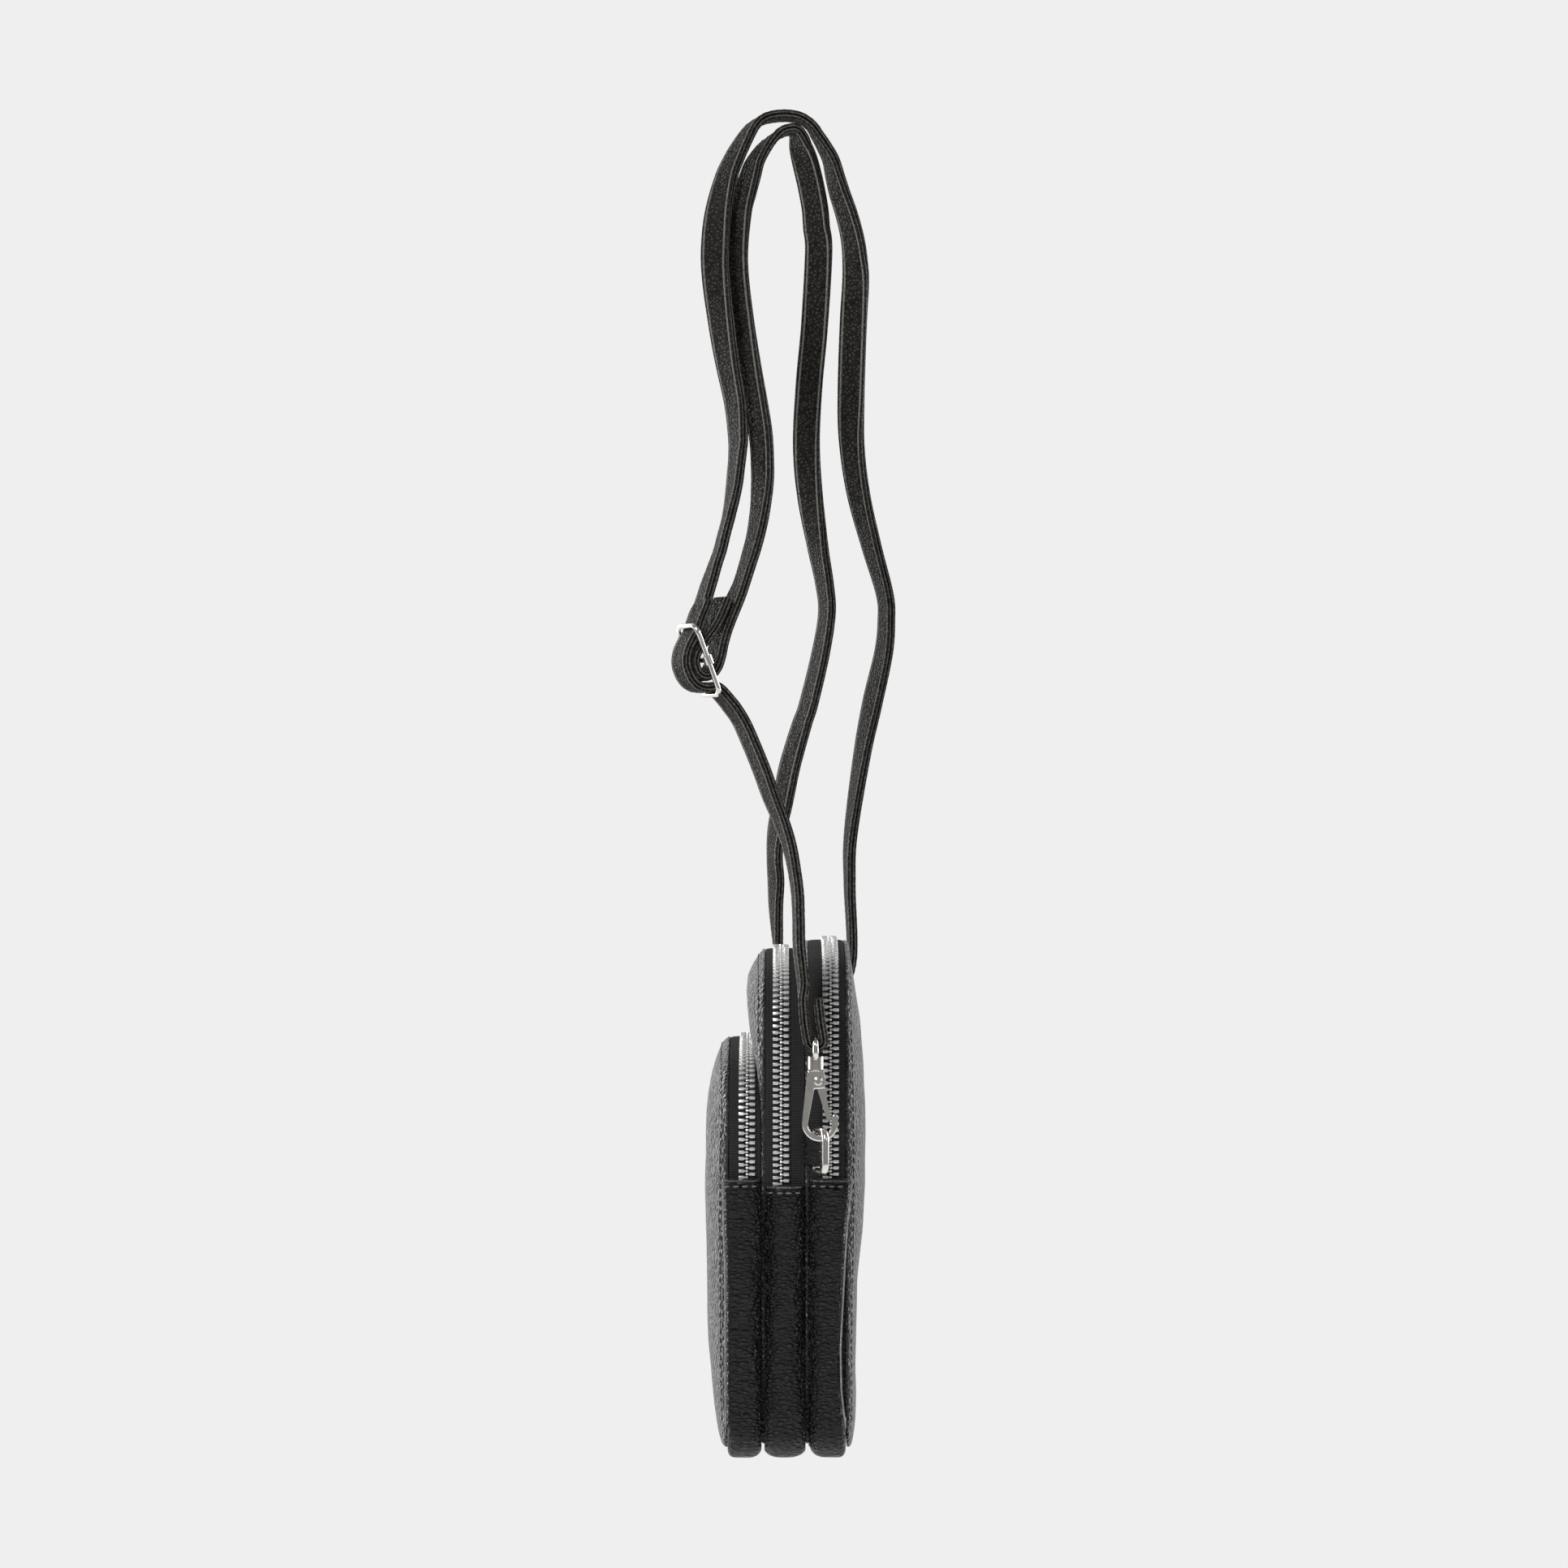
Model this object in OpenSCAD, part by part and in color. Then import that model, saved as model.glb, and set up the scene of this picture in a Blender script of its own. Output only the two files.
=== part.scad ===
// Three-compartment crossbody phone pouch of pebbled leather, hung by its doubled strap.
// The origin is the underside of the strap where it hangs over a peg, X runs across the
// pouch, Y runs from its front to its back, and Z is up.

/* [Pouch] */
// Width of the pouch between its side seams
seam_width = 104; // [98:1:116]
// Height of the gussets, from the underside to the hem
gusset_height = 98.9; // [88:0.1:110]
// Height of the rear compartment above the hem
rear_rise = 82; // [76:0.1:90]
// Height of the middle compartment above the hem
middle_rise = 78.9; // [72:0.1:80]
// Height of the front pocket above the hem
front_rise = 46.8; // [42:0.1:54]
// How much lower the hem of the middle gusset lies
middle_dip = 2.3; // [0:0.1:4]
// Depth of the front pocket
front_depth = 13.6; // [13:0.1:16]
// Depth of the middle compartment
middle_depth = 15.3; // [15:0.1:18]
// Depth of the rear compartment
rear_depth = 15.2; // [14:0.1:17]
// Radius of the top corners
top_corner_radius = 26; // [22:0.5:30]
// Slope of the top where it meets its corners, in degrees
crown_tilt = 16; // [12:0.5:18]
// Radius of the bottom corners
bottom_corner_radius = 9; // [7:0.5:16]
// Leather thickness of gussets and inner walls
leather = 1.4; // [1:0.1:1.6]
// Leather thickness of the front and back panels
panel_leather = 1.6; // [1.2:0.1:2]
// How far the seams let the panels stand out past the zips
seam_lip = 0.6; // [0.4:0.1:1]
// How far each gusset swells out between its seams
gusset_bulge = 3.5; // [2:0.1:3.6]
// How far the front panel swells forward
front_bulge = 7.6; // [4:0.1:9]
// How far the back panel swells backward
back_bulge = 6.3; // [4:0.1:9]
// How far the middle panel swells out above the front pocket
crown_bulge = 5.4; // [4:0.1:7]
// Height of the folded hem on top of each gusset
hem_height = 6; // [4:0.5:9]
// Extra thickness of the hem
hem_fold = 0.5; // [0.3:0.1:0.6]

/* [Zips] */
// Pitch of the teeth of one row
tooth_pitch = 2.2; // [2:0.1:2.6]
// Width of the closed chain
chain_width = 5.7; // [5.2:0.1:6]
// Height of the teeth above the tape
tooth_rise = 1.4; // [1:0.1:1.5]
// Depth of the bead that the teeth grip
bead_depth = 1.3; // [1:0.1:1.4]
// Thickness of the tape
tape_thickness = 0.6; // [0.4:0.1:0.8]
// Length of a slider
slider_length = 11; // [10:0.5:12]
// Width of a slider at its shoulders
slider_width = 8.8; // [8.4:0.1:9]
// Thickness of a slider's plates
slider_plate = 1; // [0.8:0.1:1.2]
// Length of a pull
pull_length = 20; // [16:1:26]
// Width of a pull
pull_width = 3.6; // [3.4:0.1:4]
// Thickness of a pull
pull_thickness = 1.3; // [1:0.1:1.4]

/* [Strap] */
// Width of the strap
strap_width = 10; // [9:0.1:10]
// Thickness of the folded and sewn strap
strap_thickness = 3.2; // [2.6:0.1:3.3]
// Drop from the hang point to the hook eyes
strap_drop = 324.7; // [300:0.1:360]
// Length of the sewn fold at the near hook
fold_length = 14; // [12:1:20]
// How far the hang point lies behind the middle of the middle compartment
hang_back = 3.5; // [2:0.1:5]

/* [Hooks and rings] */
// How far the hook axes stand out from the side seams
hook_stand = 12; // [11.8:0.1:18]
// Length of a hook body
hook_length = 24.8; // [23:0.1:28]
// Width of a hook body
hook_width = 12.4; // [11:0.1:14]
// Thickness of a hook body
hook_thickness = 3; // [2.4:0.1:3.2]
// Inner radius of the hook's bend
bend_radius = 4.2; // [4:0.1:4.6]
// Thickness of the metal round the bend
bend_metal = 2; // [1.6:0.1:2.4]
// Diameter of the rivet that carries the gate
rivet_d = 1.6; // [1.4:0.1:2]
// Diameter of the rivet's head
rivet_head_d = 3.2; // [2.6:0.1:3.6]
// Thickness of the gate
gate_thickness = 1.7; // [1.4:0.1:1.9]
// Diameter of the swivel block
swivel_d = 5.4; // [5:0.1:6.4]
// Height of the swivel block
swivel_height = 4.5; // [4:0.1:6]
// Wire of the hook eyes
eye_wire = 2; // [1.6:0.1:2.4]
// Wire of the D-rings
ring_wire = 2.5; // [2:0.1:2.6]
// Inner height of the D-rings
ring_height = 12; // [11.6:0.1:13]
// Inner reach of the D-rings
ring_reach = 7; // [6.4:0.1:9]
// Height of the D-rings' middle above the hem
ring_rise = 10.8; // [9:0.1:12]
// How far the near ring leans back, in degrees
ring_lean = 20; // [10:1:24]
// Leather thickness of the ring tabs
tab_leather = 1.3; // [1:0.1:1.4]

/* [Adjuster] */
// Length of the adjuster between its end bars
adjuster_length = 25.5; // [23:0.5:28]
// Wire of the adjuster
adjuster_wire = 1.8; // [1.6:0.1:2.2]
// Tilt of the adjuster from upright, in degrees
adjuster_tilt = 22; // [15:1:30]
// Turn of the adjuster about the upright, in degrees
adjuster_turn = 29; // [20:1:45]

/* [Fits] */
// Running gap round pins and wires that turn
running_gap = 0.05; // [0.03:0.01:0.1]
// Gap where soft pieces lie against others
seat_gap = 0.3; // [0.2:0.05:0.4]

/* [Hidden] */

black = [0.11, 0.11, 0.12];
soft_black = [0.15, 0.15, 0.16];
tape_black = [0.08, 0.08, 0.09];
strap_black = [0.17, 0.16, 0.15];
nickel = [0.83, 0.82, 0.79];
steel = [0.72, 0.72, 0.72];

// Cuts run past the faces that they open by this much
overrun = 0.2;

// Places of the seams and zips along Y, before the pouch is hung
groove_1 = -middle_depth / 2;
groove_2 = middle_depth / 2;
front_seam = groove_1 - front_depth;
back_seam = groove_2 + rear_depth;
front_wall = [front_seam, front_seam + panel_leather];
middle_wall = [groove_1 - leather / 2, groove_1 + leather / 2];
divider_wall = [groove_2 - leather / 2, groove_2 + leather / 2];
back_wall = [back_seam - panel_leather, back_seam];
front_span = [front_wall[1], middle_wall[0]];
middle_span = [middle_wall[1], divider_wall[0]];
rear_span = [divider_wall[1], back_wall[0]];
front_zip_y = (front_span[0] + front_span[1]) / 2 + front_depth * 0.05;
middle_zip_y = (middle_span[0] + middle_span[1]) / 2 - middle_depth * 0.09;
rear_zip_y = (rear_span[0] + rear_span[1]) / 2 + rear_depth * 0.08;
middle_hem = gusset_height - middle_dip;
rear_height = gusset_height + rear_rise;
middle_height = gusset_height + middle_rise;
front_height = gusset_height + front_rise;
ring_level = gusset_height + ring_rise;

// The panels' outline, and the zips' outline just inside it
seam_half = seam_width / 2;
hook_reach_x = seam_half + hook_stand;
panel_half = seam_half + seam_lip;
crown_reach = (panel_half - top_corner_radius) / sin(crown_tilt);
crown_radius = top_corner_radius + crown_reach;
crown_rise = crown_radius - crown_reach * cos(crown_tilt);
corner_steps = 9;
crown_steps = 8;
foot_steps = 6;

// The stack of ring, hook and eye over the ring's top wire
ring_top = ring_level + ring_height / 2 + ring_wire / 2;
ring_corner = ring_reach - ring_wire * 1.4;
ring_bar_x = hook_reach_x - hook_thickness / 2 - tab_leather - ring_wire / 2 - running_gap - seat_gap;
ring_seat = seat_gap * 2;
bend_drop = hook_length - bend_metal - bend_radius;
hook_reach = hook_length - bend_metal - ring_seat - ring_wire / 2;
hook_top = ring_top + hook_reach;
eye_rise = eye_wire + strap_thickness + seat_gap * 2.4;
eye_height = hook_top + running_gap * 2 + swivel_height + eye_rise;
hang_height = eye_height + strap_drop;
// The rivet lies a little behind the hook's stem
rivet_shift = hook_width * 0.075;
near_hook_y = groove_2 + hook_width * 0.24;
near_bar_y = near_hook_y + rivet_shift - seat_gap * 2.5;
far_hook_y = groove_2 - rivet_shift;
slider_clear = seat_gap;
slider_rise = seat_gap * 3 + slider_length / 2;

function unit(v) = v / norm(v);
function turn(r, a) = [r * cos(a), r * sin(a)];
function reverse(list) = [for (i = [len(list) - 1:-1:0]) list[i]];

// Points of an arc after its first one
function arc(centre, r, from, to, steps) =
    [for (i = [1:steps]) centre + turn(r, from + (to - from) * i / steps)];

// The arch that a compartment's top follows, from one leg over to the other, drawn in by inset
function arch(height, start, finish, inset) =
    let (half = panel_half - inset,
        leg = height - crown_rise,
        r = top_corner_radius - inset,
        corner = [half - r, leg],
        crown = [0, leg - crown_reach * cos(crown_tilt)],
        side = 90 - crown_tilt)
    concat([[half, start], [half, leg]],
        arc(corner, r, 0, side, corner_steps),
        arc(crown, crown_radius - inset, side, 180 - side, crown_steps),
        arc([-corner[0], leg], r, 180 - side, 180, corner_steps),
        [[-half, finish]]);

// A whole panel's outline, counter-clockwise seen from the front
function outline(height, inset) =
    let (half = panel_half - inset,
        foot = gusset_bulge - seam_lip + inset,
        r = bottom_corner_radius - inset)
    concat([[half - r, foot]],
        arc([half - r, foot + r], r, -90, 0, foot_steps),
        [for (p = arch(height, foot + r, foot + r, inset)) if (p[1] > foot + r) p],
        [[-half, foot + r]],
        arc([-half + r, foot + r], r, 180, 270, foot_steps));

// Hangs what is modelled on the pouch's underside from the hang point
module hung() {
    translate([0, -hang_back, -hang_height]) children();
}

// A flat profile in X and Z, thickened from one place along Y to another
module across(span) {
    translate([0, span[1], 0]) rotate([90, 0, 0]) linear_extrude(height = span[1] - span[0]) children();
}

// A panel's columns as [x, foot, start of its swelling, top], from its right edge to its left
function columns(height, start) =
    let (foot = gusset_bulge - seam_lip,
        r = bottom_corner_radius,
        flat = panel_half - r,
        top = [for (p = arch(height, 0, 0, 0)) if (p[1] > 0) p],
        low = [for (p = arch(start, 0, 0, 0)) if (p[1] > 0) p])
    [for (i = [0:len(top) - 1]) let (x = top[i][0], past = max(0, abs(x) - flat),
        z = foot + r - sqrt(max(0, r * r - past * past)))
        [x, z, start > 0 ? low[i][1] : z, top[i][1]]];

// A leather panel whose rows list [share of the way up, share of the bulge]; a share below 0
// is the foot of the column
module swollen_panel(columns, rows, span, way, bulge) {
    n = len(columns);
    m = len(rows);
    layer = n * m;
    function sheet(y) = [for (row = rows, c = columns)
        [c[0], y + way * bulge * row[1] * (1 - pow(abs(c[0]) / panel_half, 4)),
            row[0] < 0 ? c[1] : c[2] + row[0] * (c[3] - c[2])]];
    flat = [for (i = [0:m - 2], j = [0:n - 2]) let (a = i * n + j)
        each [[a, a + n, a + n + 1], [a, a + n + 1, a + 1]]];
    loop = concat([for (j = [n - 1:-1:1]) j], [for (i = [0:m - 2]) i * n],
        [for (j = [0:n - 2]) (m - 1) * n + j], [for (i = [m - 1:-1:1]) i * n + n - 1]);
    rim = [for (i = [0:len(loop) - 1]) let (j = loop[i], k = loop[(i + 1) % len(loop)])
        each [[j, k, layer + k], [j, layer + k, layer + j]]];
    polyhedron(points = concat(sheet(span[0]), sheet(span[1])),
        faces = concat([for (f = flat) reverse(f)], [for (f = flat) [for (v = f) v + layer]], rim));
}

front_swell_shares = [[0, 0.1], [0.025, 0.34], [0.1, 0.58], [0.25, 0.83], [0.46, 0.92], [0.63, 1],
    [0.7, 0.96], [0.81, 0.91], [0.855, 0.83], [0.92, 0.62], [0.957, 0.4], [0.985, 0.15], [1, 0]];
back_swell_shares = [[0, 0.16], [0.03, 0.34], [0.08, 0.46], [0.155, 0.38], [0.33, 0.5], [0.43, 0.82],
    [0.53, 0.97], [0.62, 1], [0.75, 0.88], [0.84, 0.66], [0.9, 0.42], [0.95, 0.2], [1, 0]];
crown_swell_shares = [[-1, 0], [0, 0], [0.03, 0.3], [0.08, 0.7], [0.15, 0.82], [0.33, 0.94], [0.5, 1],
    [0.69, 0.9], [0.76, 0.73], [0.83, 0.5], [0.9, 0.24], [0.96, 0.06], [1, 0]];

module front_panel() {
    color(black) hung()
        swollen_panel(columns(front_height, 0), front_swell_shares, front_wall, -1, front_bulge);
}

// Swells only where it shows above the front pocket
module middle_front_panel() {
    start = front_height + seat_gap * 3;
    color(black) hung() swollen_panel(columns(middle_height, start), crown_swell_shares, middle_wall, -1,
        crown_bulge);
}

module divider_panel() {
    color(soft_black) hung() across(divider_wall) polygon(outline(rear_height, seat_gap));
}

module back_panel() {
    color(black) hung() swollen_panel(columns(rear_height, 0), back_swell_shares, back_wall, 1, back_bulge);
}

// Gussets: a swollen leather strip round the sides and the bottom, with a flat foot line
gusset_shares = [-1, -0.97, -0.9, -0.78, -0.62, -0.46, -0.3, 0.3, 0.46, 0.62, 0.78, 0.9, 0.97, 1];
foot_share = 0.96;

function gusset_swell(s) = gusset_bulge * min(1, (1 - pow(abs(s), 3)) / foot_share);

// The strip's section as [distance outward from the seam, y]
function gusset_section(span, thick) =
    let (mid = (span[0] + span[1]) / 2,
        half = (span[1] - span[0]) / 2)
    concat([for (s = gusset_shares) [gusset_swell(s) + thick, mid + s * half]],
        [for (s = reverse(gusset_shares)) [gusset_swell(s) - leather, mid + s * half]]);

module gusset(span, top) {
    corner_x = seam_half - bottom_corner_radius;
    corner_z = gusset_bulge + bottom_corner_radius;
    section = gusset_section(span, 0);
    hem = gusset_section(span, hem_fold);
    hung() union() {
        for (side = [0, 1]) mirror([side, 0, 0]) {
            translate([0, 0, corner_z]) linear_extrude(height = top - hem_height - corner_z)
                polygon([for (p = section) [p[0] + seam_half, p[1]]]);
            translate([0, 0, top - hem_height]) linear_extrude(height = hem_height)
                polygon([for (p = hem) [p[0] + seam_half, p[1]]]);
            translate([corner_x, 0, corner_z]) rotate([-90, 0, 0]) rotate_extrude(angle = 90, $fn = 48)
                polygon([for (p = section) [p[0] + bottom_corner_radius, p[1]]]);
        }
        translate([-corner_x, 0, gusset_bulge]) rotate([90, 0, 90]) linear_extrude(height = 2 * corner_x)
            polygon([for (p = section) [p[1], -p[0]]]);
    }
}

module front_gusset() {
    color(black) gusset(front_span, gusset_height);
}

module middle_gusset() {
    color(black) gusset(middle_span, middle_hem);
}

module rear_gusset() {
    color(black) gusset(rear_span, gusset_height);
}

// Zips: a tape on each side and two rows of teeth that mesh half a pitch apart
module tape(height, hem, span) {
    path = arch(height, hem, hem, seam_lip);
    back = arch(height, hem, hem, seam_lip + tape_thickness);
    color(tape_black) hung() across(span) polygon(concat(path, reverse(back)));
}

module front_zip_front_tape() {
    tape(front_height, gusset_height, [front_span[0], front_zip_y - chain_width / 2]);
}

module front_zip_back_tape() {
    tape(front_height, gusset_height, [front_zip_y + chain_width / 2, front_span[1]]);
}

module middle_zip_front_tape() {
    tape(middle_height, middle_hem, [middle_span[0], middle_zip_y - chain_width / 2]);
}

module middle_zip_back_tape() {
    tape(middle_height, middle_hem, [middle_zip_y + chain_width / 2, middle_span[1]]);
}

module rear_zip_front_tape() {
    tape(rear_height, gusset_height, [rear_span[0], rear_zip_y - chain_width / 2]);
}

module rear_zip_back_tape() {
    tape(rear_height, gusset_height, [rear_zip_y + chain_width / 2, rear_span[1]]);
}

// The length of a zip's path between its two ends at the hem
function zip_length(height, hem) =
    let (r = top_corner_radius - seam_lip)
    2 * (height - crown_rise - hem + PI / 180 * ((90 - crown_tilt) * r
        + crown_tilt * (crown_radius - seam_lip)));

// The point at a distance along the zip's path from its near end, raised off the tape by rise
function on_zip(height, hem, along, rise) =
    let (whole = zip_length(height, hem))
    along > whole / 2 ? let (p = on_zip(height, hem, whole - along, rise)) [-p[0], p[1]] :
    let (half = panel_half - seam_lip,
        r = top_corner_radius - seam_lip,
        leg = height - crown_rise,
        straight = leg - hem,
        bent = PI / 180 * (90 - crown_tilt) * r,
        crown = [0, leg - crown_reach * cos(crown_tilt)])
    along < straight ? [half + rise, hem + along] :
    along < straight + bent ?
        [half - r, leg] + turn(r + rise, (along - straight) / r * 180 / PI) :
        crown + turn(crown_radius - seam_lip + rise,
            90 - crown_tilt + (along - straight - bent) / (crown_radius - seam_lip) * 180 / PI);

// One row: its teeth stand on a bead, and it stops short of the slider's wedge at the far end
module teeth(height, hem, span, phase) {
    run = zip_length(height, hem) - slider_rise + slider_length * 0.24 - seat_gap;
    count = floor((run - phase) / tooth_pitch);
    tooth = tooth_pitch * 0.46;
    crest = [for (i = [0:count - 1]) let (s = phase + i * tooth_pitch)
        each [on_zip(height, hem, s, 0), on_zip(height, hem, s, tooth_rise),
            on_zip(height, hem, s + tooth, tooth_rise), on_zip(height, hem, s + tooth, 0)]];
    root = [for (i = [0:2:count - 1]) on_zip(height, hem, phase + i * tooth_pitch, -bead_depth)];
    finish = phase + (count - 1) * tooth_pitch + tooth;
    color(steel) hung() across(span)
        polygon(concat(crest, [on_zip(height, hem, finish, -bead_depth)], reverse(root)));
}

module front_zip_front_teeth() {
    teeth(front_height, gusset_height, [front_zip_y - chain_width / 2, front_zip_y - running_gap], 0);
}

module front_zip_back_teeth() {
    teeth(front_height, gusset_height, [front_zip_y + running_gap, front_zip_y + chain_width / 2],
        tooth_pitch / 2);
}

module middle_zip_front_teeth() {
    teeth(middle_height, middle_hem, [middle_zip_y - chain_width / 2, middle_zip_y - running_gap], 0);
}

module middle_zip_back_teeth() {
    teeth(middle_height, middle_hem, [middle_zip_y + running_gap, middle_zip_y + chain_width / 2],
        tooth_pitch / 2);
}

module rear_zip_front_teeth() {
    teeth(rear_height, gusset_height, [rear_zip_y - chain_width / 2, rear_zip_y - running_gap], 0);
}

module rear_zip_back_teeth() {
    teeth(rear_height, gusset_height, [rear_zip_y + running_gap, rear_zip_y + chain_width / 2],
        tooth_pitch / 2);
}

// Sliders, parked at the zips' closed ends on the far side. In their own frame X points out of
// the pouch from the tape's face, Y runs across the chain and Z along it.
plate_over = tooth_rise + slider_clear;
plate_under = -bead_depth - slider_clear;
bridge_bore = pull_thickness + seat_gap * 2;
pull_axis = max(plate_over + slider_plate + slider_clear + pull_thickness / 2 + bridge_bore / 2,
    gusset_bulge + hem_fold + slider_clear * 2 + pull_thickness / 2);
bridge_width = pull_width * 0.4;

module at_slider(zip_y, hem) {
    hung() translate([-seam_half, zip_y, hem + slider_rise]) rotate([0, 0, 180]) children();
}

// A profile in Y and Z, thickened outward along X
module outward(from, to) {
    translate([from, 0, 0]) rotate([90, 0, 90]) linear_extrude(height = to - from) children();
}

module slider_outline() {
    half = slider_width / 2;
    tail = slider_width * 0.42;
    polygon([[-half, -slider_length / 2], [half, -slider_length / 2], [half, -slider_length / 5],
        [tail, slider_length / 2], [-tail, slider_length / 2], [-half, -slider_length / 5]]);
}

module slider(zip_y, hem) {
    channel = chain_width + slider_clear * 1.4;
    color(nickel) at_slider(zip_y, hem) union() {
        outward(plate_over, plate_over + slider_plate) slider_outline();
        outward(plate_under - slider_plate, plate_under) slider_outline();
        outward(slider_clear, plate_over) difference() {
            slider_outline();
            square([channel, 2 * slider_length], center = true);
        }
        outward(plate_under, -tape_thickness - slider_clear) difference() {
            slider_outline();
            square([channel, 2 * slider_length], center = true);
        }
        outward(plate_under, plate_over) polygon([[0, -slider_length * 0.25],
            [slider_width * 0.12, -slider_length * 0.36],
            [0, -slider_length * 0.48], [-slider_width * 0.12, -slider_length * 0.36]]);
        difference() {
            translate([plate_over + slider_plate, -bridge_width / 2, -slider_length * 0.3])
                cube([pull_axis + bridge_bore / 2 + slider_plate - plate_over - slider_plate,
                    bridge_width, slider_length * 0.6]);
            translate([pull_axis - bridge_bore / 2, -bridge_width, -slider_length * 0.2])
                cube([bridge_bore, 2 * bridge_width, slider_length * 0.4]);
        }
    }
}

module front_slider() {
    slider(front_zip_y, gusset_height);
}

module middle_slider() {
    slider(middle_zip_y, middle_hem);
}

module rear_slider() {
    slider(rear_zip_y, gusset_height);
}

// A pull: a bar through the bridge, two arms past it and a flat rounded tab
module pull(zip_y, hem) {
    slot = bridge_width + running_gap * 8;
    arm = slider_length * 0.42;
    color(nickel) at_slider(zip_y, hem) union() {
        translate([pull_axis, 0, 0]) rotate([90, 0, 0])
            cylinder(d = pull_thickness, h = pull_width, center = true, $fn = 24);
        outward(pull_axis - pull_thickness / 2, pull_axis + pull_thickness / 2) difference() {
            union() {
                translate([-pull_width / 2, -pull_length + pull_width / 2])
                    square([pull_width, pull_length - pull_width / 2]);
                translate([0, -pull_length + pull_width / 2]) circle(d = pull_width, $fn = 32);
            }
            translate([-slot / 2, -arm]) square([slot, arm + overrun]);
        }
    }
}

module front_pull() {
    pull(front_zip_y, gusset_height);
}

module middle_pull() {
    pull(middle_zip_y, middle_hem);
}

module rear_pull() {
    pull(rear_zip_y, gusset_height);
}

// Ring tabs: a strip folded round the ring's straight bar, its ends sewn into the rear groove
tab_turn = ring_wire / 2 + running_gap + tab_leather;

module tab(bar_y) {
    root_x = seam_half + gusset_bulge * 0.3;
    bar = [ring_bar_x, bar_y];
    lie = unit(bar - [root_x, groove_2]);
    square_to = [-lie[1], lie[0]];
    tail = [root_x, groove_2];
    bend = bar - lie * tab_turn * 0.7;
    color(black) hung() translate([0, 0, ring_level - ring_height / 2 + seat_gap])
        linear_extrude(height = ring_height - seat_gap * 2) difference() {
            union() {
                translate(bar) circle(r = tab_turn, $fn = 48);
                polygon([tail + square_to * tab_leather, tail - square_to * tab_leather,
                    bend - square_to * tab_leather, bend + square_to * tab_leather]);
            }
            translate(bar) circle(r = ring_wire / 2 + running_gap, $fn = 48);
        }
}

module near_tab() {
    tab(near_bar_y);
}

module far_tab() {
    mirror([1, 0, 0]) tab(groove_2);
}

// A quarter bend of round wire in X and Z, from +X towards +Z
module wire_bend(r, wire) {
    rotate([90, 0, 0]) rotate_extrude(angle = 90, $fn = 48) translate([r, 0]) circle(d = wire, $fn = 24);
}

module wire_up(wire, length) {
    cylinder(d = wire, h = length, $fn = 24);
}

module wire_along(wire, length) {
    rotate([0, 90, 0]) cylinder(d = wire, h = length, $fn = 24);
}

// D-rings: a straight bar in the tab, and a bow that runs out from it
module ring(bar_y, lean) {
    half = ring_height / 2 + ring_wire / 2;
    flat = ring_reach + ring_wire - ring_corner;
    color(nickel) hung() translate([ring_bar_x, bar_y, ring_level]) rotate([0, 0, lean]) union() {
        translate([0, 0, -half]) wire_up(ring_wire, 2 * half);
        for (side = [0, 1]) mirror([0, 0, side]) {
            translate([0, 0, half]) sphere(d = ring_wire, $fn = 24);
            translate([0, 0, half]) wire_along(ring_wire, flat);
            translate([flat, 0, half - ring_corner]) wire_bend(ring_corner, ring_wire);
        }
        translate([flat + ring_corner, 0, ring_corner - half]) wire_up(ring_wire, 2 * (half - ring_corner));
    }
}

module near_ring() {
    ring(near_bar_y, ring_lean);
}

module far_ring() {
    mirror([1, 0, 0]) ring(groove_2, 0);
}

// Snap hooks: a bent body open at the back, a sprung gate that closes it, and a swivel stem.
// In their own frame Z is measured down from the body's top.
spine_shares = [[-0.3, -0.01], [0.17, -0.01], [0.21, -0.12], [0.19, -0.26], [-0.11, -0.27]];
spine_foot_shares = [-0.29, -0.45];
gate_pivot_drop = hook_length * 0.16;
bend_centre = [hook_width * 0.05, -bend_drop];
stem_d = swivel_d * 0.44;
stem_head_d = swivel_d * 0.68;
stem_neck = swivel_height * 0.46;
stem_head = swivel_height * 0.3;
tongue = hook_thickness * 0.5;

module at_hook(hook_y) {
    hung() translate([hook_reach_x, hook_y, hook_top]) children();
}

// A profile in Y and Z, thickened along X about the hook's middle
module hook_plate(thick) {
    translate([0, rivet_shift, 0]) rotate([90, 0, 90])
        linear_extrude(height = thick, center = true) children();
}

// A hole or pin on the rivet's axis
module on_rivet() {
    translate([0, rivet_shift, -gate_pivot_drop]) rotate([0, 90, 0]) children();
}

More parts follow.
